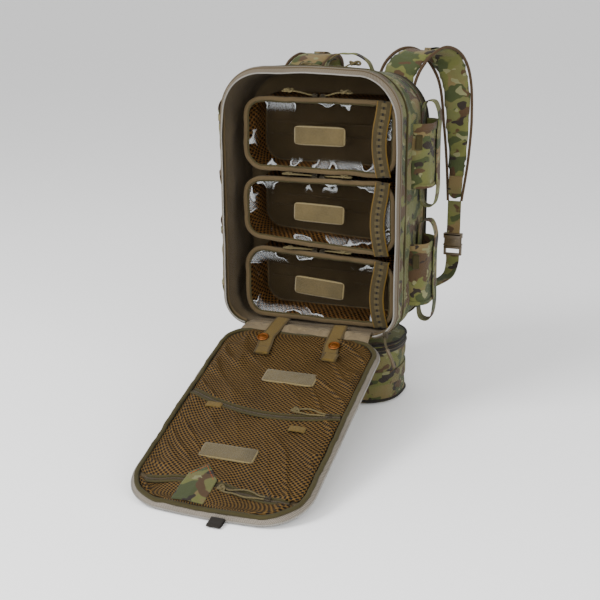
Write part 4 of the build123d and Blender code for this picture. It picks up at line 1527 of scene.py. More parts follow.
        def place(share: float, part: float) -> Vector:
            """Point of the mesh."""
            nominal = lerp(-reach, reach, share)
            along = lerp(first(nominal), last(nominal), part)
            x = nominal / reach * self.half_at(along, 15)
            edge = min(share, 1 - share) * 2 * reach
            ends = min(part, 1 - part) * (last(nominal) - first(nominal))
            cover = ease(edge / 9) * ease((ends + 2.5) / 7)
            return self.on(x, along, lerp(0.6, self.pocket_height(x, along), cover))

        depth = last(0) - first(0)
        mesh = surface(name, (120, cells), place, (2 * reach, depth), thickness=0.8)
        dress(mesh, PANEL_MESH, "mesh", self.body, *nodes)
        spots = [lerp(first(0), last(0), step / 20) for step in range(21)]
        wide = sum(self.half_at(along, 15) for along in spots) / len(spots) * 2

    def zip_line(self, name: str, line: Callable, reach: float, *nodes: str) -> None:
        """Zip across the panel: its tape and its coil."""

        def path(share: float) -> Station:
            """Point of the zip."""
            x = lerp(-reach, reach, share)
            slope = (line(x + 1) - line(x - 1)) / 2
            width = (self.along - Vector((slope, 0, 0))).normalized()
            cover = ease((reach - abs(x)) / 14)
            return self.on(x, line(x), 1.2 + 1.8 * cover), width, self.inward

        tape = swept(f"{name}_tape", path, flat_section(11, 1.3), (140, 12), 2 * reach)
        dress(tape, OLIVE_BINDING, "webbing", self.body, *nodes)
        coil = swept(f"{name}_coil", path, round_section(1.5, 0.7), (520, 8), 2 * reach)
        dress(coil, DARK_COIL, "zip_tape", self.body)
        for side, offset in (("near", -5.4), ("far", 5.4)):

            def hem(share: float, offset: float = offset) -> Station:
                """Point of the rolled hem beside the zip."""
                spot, width, up = path(share)
                return spot + width * offset + up * 0.9, width, up

            roll = swept(f"{name}_hem_{side}", hem, flat_section(4.2, 2.4, 0.7), (140, 10), 2 * reach)
            dress(roll, OLIVE_BINDING, "piping", self.body)

    def build_stub(self, name: str, x: float, along: float) -> None:
        """Short stub of webbing sewn flat on the mesh."""
        points = [self.on(x - 13, along, 4.2), self.on(x - 11, along, 6.4), self.on(x, along, 6.9)]
        points += [self.on(x + 11, along, 6.4), self.on(x + 13, along, 4.2)]
        route = Route(points)
        strip = swept(name, route.path(self.along), flat_section(12, 2.6, 0.4), (24, 12), route.length)
        dress(strip, STRAP_WEB, "webbing", self.body)

    def build_tab(self) -> None:
        """Folded camouflage tab near the tip, with its orange stitches."""
        left = ((-30, 362), (-52, 385), (-54, 414), (-55, 442))
        right = ((-30, 362), (-3, 393), (-3, 416), (-4, 443))

        def edge(marks: Sequence[tuple[float, float]], part: float) -> Vector:
            """Point of one edge of the tab."""
            spot = min(part * 3, 2.9999)
            index = int(spot)
            return Vector(marks[index]).lerp(Vector(marks[index + 1]), spot - index)

        def place(share: float, part: float) -> Vector:
            """Point of the tab; its middle fold stands up."""
            spot = edge(left, part).lerp(edge(right, part), share)
            ridge = 1 - abs(2 * share - 1)
            height = 5.4 + 3.6 * ridge * ease(part * 4) + 0.5 * ripple(Vector((spot.x, spot.y, 0)), 22, 35.0)
            return self.on(spot.x, spot.y, height)

        tab = surface("tip_tab", (24, 36), place, (51, 95), thickness=1.8)
        dress(tab, TAB_CAMO, "camo_fabric", self.body, "panel_trims")
        threads = []
        for number, marks in enumerate((((-31, 366), (-49, 387)), ((-29, 366), (-7, 393)))):
            first, last = (Vector(mark) for mark in marks)
            for dash in range(7):
                low, high = first.lerp(last, dash / 7), first.lerp(last, (dash + 0.62) / 7)
                ends = [self.on(spot.x, spot.y + 2.2, 8.2) for spot in (low, (low + high) / 2, high)]
                route = Route(ends)
                name = f"tip_thread_{number}_{dash}"
                threads.append(swept(name, route.path(self.along), round_section(0.55), (4, 6), route.length))
        dress(joined("tip_tab_stitches", threads), TACK, "webbing", self.body)
        spots = [self.on(24, along, h) for along, h in ((452, -6.4), (460, -5.9), (470, -4.0), (474, -1.2))]
        spots += [self.on(24, along, h) for along, h in ((470, -0.4), (462, -1.8), (455, -2.6))]
        route = Route(spots)
        loop = swept("end_tab", route.path(X_AXIS), flat_section(22, 1.8), (30, 12), route.length)
        dress(loop, DARK_BINDING, "webbing", self.body)

    def build_snaps(self) -> None:
        """Two straps by the hinge, each with a press stud."""
        sides = {
            "left": ((-52.5, -24, -58, 40, -52, 86), (-65, 45), 1),
            "right": ((55.5, -20, 60, 40, 68, 84), (66, 46.5), -1)
        }
        for side, (marks, stud, lean) in sides.items():
            x0, a0, x1, a1, x2, a2 = marks
            points = [self.on(x0, a0, 3.0), self.on(x0 + (x1 - x0) * 0.3, a0 * 0.3, 4.8)]
            points += [self.on(x0 + (x1 - x0) * 0.7, 20, 6.0), self.on(x1, a1, 7.4)]
            points += [self.on(x1 + (x2 - x1) * 0.6, lerp(a1, a2, 0.6), 7.0), self.on(x2, a2, 6.6)]
            points += [self.on(x2 + lean * 0.5, a2 + 1.6, 8.2), self.on(x2, a2 - 1, 9.4)]
            points += [self.on(x2 - lean * 1.2, a2 - 16, 9.4)]
            route = Route(points)
            strip = swept(
                f"snap_strap_{side}", route.path(X_AXIS), flat_section(27, 1.8, 0.3), (70, 14),
                route.length
            )
            nodes = ("snap_straps",) if side == "left" else ()
            STRAP_WEB.apply(strip)
            if nodes:
                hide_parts(*nodes)
            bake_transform(strip)
            self.build_stud(f"snap_stud_{side}", self.on(stud[0], stud[1], 9.4))

    def build_stud(self, name: str, foot: Vector) -> None:
        """Round press stud: a domed cap with a rolled rim."""
        profile = [(0.0, 1.6), (1.8, 1.4), (3.2, 1.0), (3.9, 0.55)]
        profile += [(4.4, 0.7), (5.2, 1.3), (5.9, 0.9), (6.1, 0)]
        bm = bmesh.new()
        verts = [bm.verts.new((radius, 0, height)) for radius, height in profile]
        edges = [bm.edges.new(pair) for pair in zip(verts, verts[1:])]
        bmesh.ops.spin(
            bm, geom=verts + edges, cent=(0, 0, 0), axis=(0, 0, 1), angle=math.tau, steps=32, use_merge=True
        )
        bmesh.ops.remove_doubles(bm, verts=bm.verts, dist=0.01)
        rims = [edge for edge in bm.edges if edge.is_boundary]
        bmesh.ops.holes_fill(bm, edges=rims, sides=0)
        bmesh.ops.recalc_face_normals(bm, faces=bm.faces)
        turn = basis(foot, X_AXIS, self.inward) @ Matrix.Scale(self.stud_scale, 4)
        bmesh.ops.transform(bm, matrix=turn, verts=bm.verts)
        dress(to_object(name, bm), COPPER, "snap_brass", self.body)

    def build_gusset(self) -> None:
        """Fold of cloth between the bag's bottom and the panel."""
        line = Route(
            [(0, -124, 155.4), (0, -135, 156.4), (0, -146, 158.2), self.on(0, 9, 2.6), self.on(0, 22, 2.0)]
        )

        def place(share: float, part: float) -> Vector:
            """Point of the gusset, narrower inside the bag."""
            spot, _ = line.at(part)
            reach = lerp(112, 118, part)
            base = Vector((lerp(-reach, reach, share), spot.y, 0))
            lift = 1.8 * ripple(base, 26, 41.0) + 1.3 * ripple(base, 12, 42.0)
            return spot + Vector((base.x, 0, lift * math.sin(math.pi * part)))

        cloth = surface("hinge_cloth", (120, 22), place, (230, line.length), thickness=1.2)
        GUSSET_CLOTH.apply(cloth)
        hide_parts("hinge_gusset")
        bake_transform(cloth)

    def build(self) -> None:
        """Builds all of the panel."""
        self.build_tray()
        upper, lower = self.upper_line, self.lower_line
        near, tip = lambda x: 19.0, lambda x: 443.0
        self.build_pocket("pocket_upper", near, lambda x: upper(x) - 5, 84, "mesh_pocket_upper")
        node = "mesh_pocket_lower"
        self.build_pocket("pocket_middle", lambda x: upper(x) + 5, lambda x: lower(x) - 5, 76, node)
        self.build_pocket("pocket_tip", lambda x: lower(x) + 5, tip, 20)
        self.zip_line("pocket_zip_upper", upper, 131, "pocket_zips")
        self.zip_line("pocket_zip_lower", lower, 117)
        for name, x, along in (("panel_patch_upper", 19, 139), ("panel_patch_lower", -11, 331)):
            patch = soft_patch(name, self.on(x, along, 4.6), X_AXIS, self.inward, (92, 33), 2.4)
            dress(patch, PANEL_PATCH, "hook_loop", self.body)
        self.build_stub("panel_stub_left", -79, 230)
        self.build_stub("panel_stub_right", 75, 259)
        self.build_tab()
        self.build_snaps()
        self.build_gusset()
        LOG.info("panel: tray, pockets, trims, hinge")


@dataclass
class Pouch:
    """Lower pouch, its lid and belt, and the collar of cloth that it hangs by."""

    half_width: float = 133.0
    half_depth: float = 78.0
    radius: float = 66.0
    height: float = 116.0
    belt_low: float = 36.0
    belt_width: float = 25.0
    collar: tuple[float, float, float, float] = (98.0, 39.0, 28.0, -14.0)

    def __post_init__(self) -> None:
        """Works out the pouch's outline."""
        wide, deep = self.half_width, self.half_depth
        corners = ((-wide, -deep), (wide, -deep), (wide, deep), (-wide, deep))
        self.line = Outline(corners, (self.radius,) * 4)

    def wall(self, share: float, height: float) -> Vector:
        """Point of the pouch's wall, with its folds."""
        spot, normal = self.line.at(share)
        base = Vector((spot.x, spot.y, height))
        belly = math.sin(math.pi * min(max(height / self.height, 0), 1))
        pinch = math.exp(-(((height - self.belt_low - self.belt_width / 2) / 20) ** 2))
        fold = 2.2 * ripple(base, 60, 51.0) + 1.2 * ripple(base, 26, 52.0)
        spot = spot + normal * ((fold - 0.5) * belly * (1 - 0.75 * pinch) - 0.6)
        return Vector((spot.x, spot.y, height))

    def build_body(self) -> None:
        """Cloth of the body, from the middle of its base up to its rim."""
        base_share, corner_share = 0.3, 0.38

        def place(share: float, part: float) -> Vector:
            """Point of the body."""
            spot, normal = self.line.at(share)
            spine = Vector((min(max(spot.x, -55), 55), 0))
            if part < base_share:
                spot = spine.lerp(spot - normal * 7, part / base_share)
                lift = 0.5 + 0.3 * ripple(Vector((spot.x, spot.y, 0)), 50, 53.0)
                return Vector((spot.x, spot.y, max(lift, 0.1)))
            if part < corner_share:
                turn = (part - base_share) / (corner_share - base_share) * math.pi / 2
                spot = spot - normal * (7 - 6.4 * math.sin(turn))
                return Vector((spot.x, spot.y, 0.5 + 6.5 * (1 - math.cos(turn))))
            return self.wall(share, lerp(7, self.height - 3, (part - corner_share) / (1 - corner_share)))

        length = self.line.length
        cloth = surface("pouch_cloth", (220, 60), place, (length, 190), thickness=1.8)
        dress(cloth, POUCH_CAMO, "camo_fabric", "root", "pouch_body")

        def lid(share: float, part: float) -> Vector:
            """Point of the lid, from its rim to its middle."""
            spot, _ = self.line.at(share)
            spine = Vector((min(max(spot.x, -55), 55), 0))
            spot = spot.lerp(spine, part)
            base = Vector((spot.x, spot.y, 0))
            rise = 2.6 * ease(part * 3) + 1.0 * ripple(base, 45, 54.0) * ease(part * 4)
            return Vector((spot.x, spot.y, self.height - 2.4 + rise))

        top = surface("pouch_top", (200, 30), lid, (length, 78), thickness=1.6)
        dress(top, POUCH_CAMO, "camo_fabric", "root", "pouch_lid")

    def ring(self, height: float, outset: float, wave: float) -> Path:
        """Path round the pouch at a height."""

        def path(share: float) -> Station:
            """Point of the ring."""
            spot, normal = self.line.at(share)
            base = Vector((spot.x, spot.y, height))
            out = Vector((normal.x, normal.y, 0))
            place = self.wall(share, height) + out * (outset + wave * ripple(base, 30, 55.0))
            return place, Z_AXIS, out

        return path

    def build_trims(self) -> None:
        """Belt, piping of the two edges, and the zip under the lid."""
        length = self.line.length
        middle = self.belt_low + self.belt_width / 2
        belt = swept(
            "pouch_belt", self.ring(middle, 1.0, 0.2), flat_section(self.belt_width, 2.0, 0.3), (240, 14),
            length, ends=False
        )
        dress(belt, WEBBING_CAMO, "webbing", "root", "pouch_webbing")
        for name, height, radius in (("top", self.height - 3.4, 2.4), ("bottom", 6.5, 2.2)):
            path = self.ring(height, 0.8, 0.3)
            edge = swept(f"pouch_piping_{name}", path, round_section(radius), (240, 10), length, ends=False)
            dress(edge, DARK_BINDING, "piping", "root")
        path = self.ring(self.height - 14, 1.1, 0.2)
        tape = swept("pouch_zip_tape", path, flat_section(12, 1.2), (240, 10), length, ends=False)
        dress(tape, DARK_BINDING, "zip_tape", "root")
        coil = swept("pouch_zip_coil", path, round_section(1.4, 0.7), (900, 6), length, ends=False)
        dress(coil, DARK_COIL, "zip_tape", "root")

    def build_collar(self) -> None:
        """Collar of cloth between the pouch and the bag."""
        wide, deep, radius, middle = self.collar
        front, rear = middle - deep, middle + deep
        corners = ((-wide, front), (wide, front), (wide, rear), (-wide, rear))
        line = Outline(corners, (radius,) * 4)

        def place(share: float, part: float) -> Vector:
            """Point of the collar, which slumps under the bag."""
            spot, normal = line.at(share)
            height = lerp(self.height - 1, 152, part)
            base = Vector((spot.x, spot.y, height))
            slump = 1.6 * ripple(base, 30, 56.0) + 2.0 * math.sin(part * math.tau * 1.5)
            spot = spot + normal * slump * math.sin(math.pi * part)
            return Vector((spot.x, spot.y, height))

        cloth = surface("pouch_collar", (160, 16), place, (line.length, 36), thickness=1.6)
        dress(cloth, POUCH_CAMO, "camo_fabric", "root")

    def build(self) -> None:
        """Builds all of the pouch."""
        self.build_body()
        self.build_trims()
        self.build_collar()
        LOG.info("pouch: body, lid, belt, collar")


@dataclass
class SideGear:
    """Sleeves on one side of the bag, with the loops of webbing that run in them."""

    side: int
    wall: float = 161.0
    depth: float = 30.0
    front: float = -75.0
    rear: float = 13.0
    radius: float = 26.0
    height: float = 108.0
    bottoms: tuple[float, float] = (198.0, 404.0)
    loop_y: float = -22.0

    def __post_init__(self) -> None:
        """On the left the loops and the sleeves stand further out."""
        self.out = 16.0 if self.side < 0 else 1.5
        self.depth += 12.0 if self.side < 0 else 0.0

    def outline(self) -> Outline:
        """Outline of a sleeve seen from above, which starts on the wall side."""
        inner, outer = self.wall - 2, self.wall + self.depth
        corners = ((inner, self.rear), (inner, self.front), (outer, self.front), (outer, self.rear))
        return Outline(corners, (0.5, self.radius, self.radius, 0.5))

    def flip(self, spot: Vector) -> Vector:
        """The point on this gear's own side."""
        return Vector((spot.x * self.side, spot.y, spot.z))

    def build_sleeve(self, number: int, bottom: float) -> None:
        """One sleeve: its cloth, hems, rear binding and small tab."""
        line = self.outline()
        skip = ((self.rear - self.front) / 2 + 1) / line.length
        name = f"sleeve_{'right' if self.side > 0 else 'left'}_{number}"

        def bare(share: float, height: float, outset: float) -> tuple[Vector, Vector]:
            """Point of the sleeve's wall and its outward direction."""
            spot, normal = line.at(lerp(skip, 1 - skip, share))
            base = Vector((spot.x * self.side, spot.y, height + 7 * number))
            part = (height - bottom) / self.height
            slack = math.sin(math.pi * min(max(share, 0), 1)) * (0.5 + 0.5 * math.sin(math.pi * part))
            fold = (1.8 * ripple(base, 42, 61.0) + 1.0 * ripple(base, 18, 62.0) - 0.8) * slack
            spot = spot + normal * (fold + outset)
            return self.flip(Vector((spot.x, spot.y, height))), self.flip(Vector((normal.x, normal.y, 0)))

        def place(share: float, part: float) -> Vector:
            """Point of the sleeve."""
            share = share if self.side > 0 else 1 - share
            return bare(share, lerp(bottom, bottom + self.height, part), 0)[0]

        length = line.length * (1 - 2 * skip)
        cloth = surface(name, (90, 44), place, (length, self.height), thickness=1.6)
        nodes = ("side_sleeves",) if self.side > 0 and number == 1 else ()
        dress(cloth, SLEEVE_CAMO, "camo_fabric", "root", *nodes)
        for label, height, width in (("top", bottom + self.height - 5, 12.0), ("bottom", bottom + 3, 7.0)):

            def hem(share: float, height: float = height) -> Station:
                """Point of the hem."""
                spot, out = bare(share, height, 0.9)
                return spot, Z_AXIS, out

            strip = swept(f"{name}_hem_{label}", hem, flat_section(width, 2.2), (90, 12), length)
            dress(strip, SLEEVE_CAMO, "camo_fabric", "root")

        def binding(share: float) -> Station:
            """Point of the dark binding down the sleeve's rear corner."""
            spot, out = bare(0.80, lerp(bottom, bottom + self.height, share), 0.8)
            return spot, Vector((-out.y, out.x, 0)), out

        edge = swept(f"{name}_binding", binding, flat_section(5.5, 2.4, 0.6), (44, 10), self.height)
        dress(edge, DARK_BINDING, "piping", "root")
        foot = bare(0.10, bottom + self.height - 30, 1.4)
        across = Vector((-foot[1].y, foot[1].x, 0))
        tab = soft_patch(f"{name}_tab", foot[0], across, foot[1], (12, 26), 2.4)
        dress(tab, OLIVE_BINDING, "webbing", "root")

    def build_loop(self, number: int, bottom: float) -> None:
        """Loop of webbing that runs up inside a sleeve and down its outside."""
        name = f"loop_{'right' if self.side > 0 else 'left'}_{number}"
        low, high = bottom - 39, bottom + 143
        inner, outer = self.wall + 4.5, self.wall + self.depth + 2.4
        spread = outer + self.out - (8.0 if self.side < 0 else 0.0)
        middle = (inner + outer) / 2
        marks = [(spread, bottom - 8), (outer + 0.8, bottom + 30)]
        marks += [(outer + 0.4, bottom + 85), (spread, bottom + 116)]
        marks += [(outer - 5, high - 5), (middle, high), (inner + 3, high - 6), (inner, bottom + 110)]
        marks += [(inner, bottom + 55), (inner, bottom), (inner + 3, low + 8), (middle, low)]
        marks += [(lerp(middle, spread, 0.7), low + 6)]
        route = Route([self.flip(Vector((x, self.loop_y, z))) for x, z in marks], closed=True)
        strip = swept(
            name, route.path(Y_AXIS), WEB_SECTION, (150, 14), route.length, ends=False
        )
        nodes = ("side_loops",) if self.side > 0 and number == 1 else ()
        dress(strip, WEBBING_CAMO, "webbing", "root", *nodes)
        tacks = []
        for height in (bottom + 4, bottom + self.height - 6):
            for step in range(9):
                y = self.loop_y - 9 + step * 2.25
                reach = outer + 1.5
                ends = [self.flip(Vector((reach, y, height + lift))) for lift in (-2.2, 0.4, 2.2)]
                line = Route(ends)
                thread = f"{name}_thread_{int(height)}_{step}"
                tacks.append(swept(thread, line.path(Y_AXIS), round_section(0.6), (3, 6), 4.4))
        dress(joined(f"{name}_tacks", tacks), TACK, "webbing", "root")

    def build(self) -> None:
        """Builds both sleeves and both loops of this side."""
        for number, bottom in enumerate(self.bottoms, start=1):
            self.build_sleeve(number, bottom)
            self.build_loop(number, bottom)
        LOG.info("side gear %+d: sleeves and loops", self.side)


# ------------------------------------------------------------------ padded pieces
def cushion(name: str, line: Outline, place: Callable[[Vector, float], Vector], depth: float) -> Piece:
    """Closed pad over an outline: flat below, crowned above, with round sides.

    Args:
        name: the piece's name.
        line: the pad's outline.
        place: where a spot of the outline's plane lies at a height.
        depth: the pad's thickness, in millimetres.

    Returns:
        The new object.
    """
    wide = max(spot.x for spot in line.points), min(spot.x for spot in line.points)
    tall = max(spot.y for spot in line.points), min(spot.y for spot in line.points)
    half = min(wide[0] - wide[1], tall[0] - tall[1]) / 2

    def point(share: float, part: float) -> Vector:
        """Point of the pad, from the middle of its back over its side to the middle of its face."""
        spot, _ = line.at(share)
        spine_x = min(max(spot.x, wide[1] + half), wide[0] - half)
        spine_y = min(max(spot.y, tall[1] + half), tall[0] - half)
        spine = Vector((spine_x, spine_y))
        angle = (part - 0.5) * math.pi
        reach = abs(math.cos(angle)) ** 0.22
        height = math.copysign(abs(math.sin(angle)) ** 0.6, math.sin(angle))
        return place(spine.lerp(spot, reach), depth / 2 * (1 + height))

    return surface(name, (120, 30), point, (line.length, 2 * half), wall=Wall.CLOSED)


def inflated(piece: Piece, voxel: float, pressure: float, cap: float) -> None:
    """Fills a closed pad by a cloth simulation whose result stays in its mesh.

    Args:
        piece: the pad.
        voxel: cell size of its new mesh, in millimetres.
        pressure: pressure inside it.
        cap: furthest that a point may move, in millimetres.
    """
    scene = bpy.context.scene
    shape = piece.modifiers.new("cells", "REMESH")
    shape.mode = "VOXEL"
    shape.voxel_size = voxel * MM
    view = bpy.context.evaluated_depsgraph_get()
    fresh = bpy.data.meshes.new_from_object(piece.evaluated_get(view))
    piece.modifiers.clear()
    piece.data = fresh
    start = [vert.co.copy() for vert in fresh.vertices]
    cloth = piece.modifiers.new("filling", "CLOTH")
    cloth.settings.quality = 4
    cloth.settings.use_pressure = True
    cloth.settings.uniform_pressure_force = pressure
    cloth.settings.effector_weights.gravity = 0
    cloth.point_cache.frame_start = 1
    cloth.point_cache.frame_end = 20
    for step in range(1, 21):
        scene.frame_set(step)
    view = bpy.context.evaluated_depsgraph_get()
    moved = [vert.co.copy() for vert in piece.evaluated_get(view).data.vertices]
    piece.modifiers.clear()
    for vert, first, last in zip(fresh.vertices, start, moved):
        step = last - first
        if step.length > cap * MM:
            step *= cap * MM / step.length
        vert.co = first + step
    scene.frame_set(1)
    for face in fresh.polygons:
        face.use_smooth = True


def carved(piece: Piece, depth: Callable[[Vector], float]) -> None:
    """Presses seams into a pad, along its normals, and rounds it once.

    Args:
        piece: the pad.
        depth: how deep a point is pressed in, for its place in millimetres.
    """
    moves = []
    for vert in piece.data.vertices:
        moves.append(vert.co - vert.normal * depth(vert.co / MM) * MM)
    for vert, spot in zip(piece.data.vertices, moves):
        vert.co = spot
    rounder = piece.modifiers.new("rounding", "SUBSURF")
    rounder.levels = 1
    rounder.render_levels = 1


@dataclass
class BackPanel:
    """Back of the bag: its cloth, its edge piping and its three pads."""

    bag: Bag
    thick: float = 6.0
    pad: float = 12.0
    pads: tuple[tuple[float, float, float, float, float], ...] = (
        (-66, 402, 96, 190, 22), (66, 402, 96, 190, 22), (0, 234, 236, 112, 26)
    )

    def build_cloth(self) -> None:
        """Camouflage cloth over the back, and the piping round it."""
        line, rear = self.bag.rear_line, self.bag.rear

        def place(share: float, part: float) -> Vector:
            """Point of the back, from its rim to its middle line."""
            spot, normal = line.at(share)
            rim = 0.08
            if part < rim:
                turn = part / rim
                spot = spot - normal * 3.0 * (1 - math.cos(turn * math.pi / 2))
                return Vector((spot.x, rear + self.thick * 0.85 * math.sin(turn * math.pi / 2), spot.y))
            inner = (part - rim) / (1 - rim)
            spot = spot - normal * 3.0
            spine = Vector((0, min(max(spot.y, 300), 440)))
            spot = spot.lerp(spine, inner)
            base = Vector((spot.x, 0, spot.y))
            rise = 0.7 * ripple(base, 60, 71.0) + 0.4 * ripple(base, 24, 72.0) + 0.3
            return Vector((spot.x, rear + self.thick * 0.85 + rise * ease(inner * 5), spot.y))

        cloth = surface("back_cloth", (220, 50), place, (line.length, 170), thickness=1.4)
        dress(cloth, BAG_CAMO, "camo_fabric", "root", "back_panel")

        def ring(share: float) -> Station:
            """Point of the piping at the rear edge."""
            spot, normal = line.at(share)
            out = Vector((normal.x, 0, normal.y))
            return Vector((spot.x, rear + 1.0, spot.y)) + out * 1.0, out, Y_AXIS

        edge = swept("back_piping", ring, round_section(2.4), (260, 10), line.length, ends=False)
        dress(edge, DARK_BINDING, "piping", "root")

    def build_pads(self) -> None:
        """Three pads of spacer mesh with sewn channels and bound edges."""
        foot = self.bag.rear + self.thick
        for number, (x, z, wide, tall, radius) in enumerate(self.pads, start=1):
            left, right, low, high = x - wide / 2, x + wide / 2, z - tall / 2, z + tall / 2
            corners = ((left, low), (right, low), (right, high), (left, high))
            line = Outline(corners, (radius,) * 4)

            def place(spot: Vector, height: float) -> Vector:
                """Point of the pad above the back."""
                return Vector((spot.x, foot + 0.2 + height, spot.y))

            pad = cushion(f"back_pad_{number}", line, place, self.pad - 1.5)
            inflated(pad, 5.0, 4.0, 3.0)

            def channel(spot: Vector, x: float = x, z: float = z, wide: float = wide) -> float:
                """Depth of the channels sewn across the pad."""
                if spot.y < foot + self.pad * 0.6:
                    return 0.0
                across = abs((spot.z - z + 0.25 * abs(spot.x - x)) % 38 - 19)
                return 2.6 * math.exp(-((across / 2.6) ** 2)) * ease((wide / 2 - abs(spot.x - x)) / 14)

            carved(pad, channel)
            nodes = ("back_pads",) if number == 1 else ()
            dress(pad, SPACER, "mesh", "root", *nodes)

            def ring(share: float, line: Outline = line) -> Station:
                """Point of the binding round the pad's foot."""
                spot, normal = line.at(share)
                out = Vector((normal.x, 0, normal.y))
                return Vector((spot.x, foot + 2.6, spot.y)) + out * 1.6, out, Y_AXIS

            name = f"back_pad_binding_{number}"
            edge = swept(name, ring, flat_section(4.4, 4.6, 0.7), (160, 10), line.length)
            dress(edge, DARK_BINDING, "piping", "root")

    def build(self) -> None:
        """Builds all of the back."""
        self.build_cloth()
        self.build_pads()
        LOG.info("back: cloth and pads")


@dataclass
class Harness:
    """Shoulder straps, their webbing, the buckles and the grab handle."""

    right: tuple = (
        (95, 37, 528), (98, 38, 562), (106, 52, 594), (122, 76, 615), (148, 100, 618), (172, 118, 599),
        (186, 124, 560), (193, 122, 490), (197, 112, 420), (198, 98, 352)
    )
    left: tuple = (
        (-88, 37, 528), (-86, 38, 562), (-78, 52, 592), (-66, 78, 608), (-58, 104, 604), (-60, 123, 580),
        (-70, 131, 540), (-84, 128, 470), (-96, 115, 405), (-104, 98, 352)
    )
    widths: tuple = (66, 70, 70, 68, 66, 64, 60, 54, 42, 28)
    thick: float = 10.0
    buckle_y: float = 96.0
    socket: tuple[float, float] = (268.0, 292.0)
    plug_bottom: float = 250.0

    def build_strap(self, side: str, points: tuple) -> None:
        """One shoulder strap: its padding, edge bindings and middle webbing."""
        route = Route(points)
        path = route.path(X_AXIS)

        def width(share: float) -> float:
            """Width of the strap at a share of the way."""
            mark = share * route.length
            index = 0
            while index < len(self.widths) - 2 and route.marks[(index + 1) * route.STEPS] < mark:
                index += 1
            first, last = (route.marks[step * route.STEPS] for step in (index, index + 1))
            return lerp(self.widths[index], self.widths[index + 1], (mark - first) / (last - first))

        def place(share: float, part: float) -> Vector:
            """Point of the strap's cover."""
            origin, across, up = path(share)
            angle = part * math.tau
            reach = math.copysign(abs(math.cos(angle)) ** 0.4, math.cos(angle))
            lift = math.copysign(abs(math.sin(angle)) ** 0.7, math.sin(angle))
            close = ease(min(share, 1 - share) * 40)
            swell = lerp(0.05, 0.5, close) * (self.thick - 2.4)
            return origin + across * reach * (width(share) / 2 - 2.4) + up * lift * swell

        name = f"strap_{side}"
        cover = surface(f"{name}_pad", (120, 40), place, (route.length, 140), wall=Wall.CLOSED)
        seal(cover)
        inflated(cover, 5.0, 4.0, 2.2)

        marks = [route.at(step / 80)[0] for step in range(81)]

        def seam(spot: Vector) -> float:
            """Depth of the seams sewn across and along the strap."""
            step = min(range(81), key=lambda index: (marks[index] - spot).length_squared)
            along = step / 80 * route.length
            return 1.3 * math.exp(-(((along % 62 - 31) / 4) ** 2)) if 30 < along < route.length - 30 else 0.0

        carved(cover, seam)
        dress(cover, STRAP_CAMO, "camo_fabric", "root", f"shoulder_strap_{side}")
        for label, sign in (("inner", -1), ("outer", 1)):

            def edge(share: float, sign: int = sign) -> Station:
                """Point of the strap's bound edge."""
                origin, across, up = path(share)
                return origin + across * sign * (width(share) / 2 - 1.4), across, up

            bead = swept(f"{name}_{label}_binding", edge, flat_section(5, 6, 0.7), (150, 10), route.length)
            dress(bead, BROWN_BINDING, "piping", "root")

        def spine(share: float) -> Station:
            """Point of the webbing down the outer face."""
            origin, across, up = path(lerp(0.04, 0.97, share))
            out = up if up.y > 0 or up.z > 0.2 else -up
            return origin + out * (self.thick / 2 + 0.9), across, out

        web = swept(f"{name}_webbing", spine, flat_section(25, 1.8, 0.3), (150, 12), route.length)
        dress(web, WEBBING_CAMO, "webbing", "root")

    def build_socket(self, side: str, x: float) -> Piece:
        """Socket of a side-release buckle: two faces, open sides and a bar for the strap."""
        low, high = self.socket
        bm = bmesh.new()
        for y in (-4.8, 4.8):
            turn = Matrix.Translation((x, self.buckle_y + y, (low + high) / 2))
            add_block(bm, (31, 2.4, high - low), turn, 1.0, 3)
        add_block(bm, (35, 12, 5), Matrix.Translation((x, self.buckle_y, high - 2.5)), 1.4, 3)
        for sign in (-1, 1):
            for tall, z in ((7, high - 6), (4, low + 2)):
                turn = Matrix.Translation((x + sign * 15.6, self.buckle_y, z))
                add_block(bm, (3.4, 11.6, tall), turn, 1.2, 3)
        for step in range(4):
            turn = Matrix.Translation((x, self.buckle_y - 6.2, low + 6 + step * 2.6))
            add_block(bm, (15, 0.9, 1.1), turn, 0.3, 2)
        return to_object(f"buckle_{side}_socket", bm)

    def build_plug(self, side: str, x: float) -> None:
        """Plug with two springy prongs, a guide and a bar for the strap."""
        low, top = self.plug_bottom, self.socket[0]
        bm = bmesh.new()
        add_block(bm, (34, 9.6, 4.6), Matrix.Translation((x, self.buckle_y, top - 2.9)), 1.4, 3)
        add_block(bm, (34, 7.4, 4.0), Matrix.Translation((x, self.buckle_y, low + 2.2)), 1.6, 3)
        for sign in (-1, 1):
            turn = Matrix.Translation((x + sign * 14.6, self.buckle_y, low + 9))
            add_block(bm, (4.2, 9.0, 15.5), turn, 1.4, 3)
            turn = Matrix.Translation((x + sign * 10.4, self.buckle_y, top + 8))
            turn = turn @ Matrix.Rotation(math.radians(sign * 5), 4, "Y")
            add_block(bm, (3.2, 5.0, 17), turn, 1.1, 3)
        add_block(bm, (4.2, 3.8, 14), Matrix.Translation((x, self.buckle_y, top + 6)), 1.2, 3)
        piece = to_object(f"buckle_{side}_plug", bm)
        dress(piece, POLYMER, "polymer", f"buckle_{side}", f"buckle_plug_{side}")

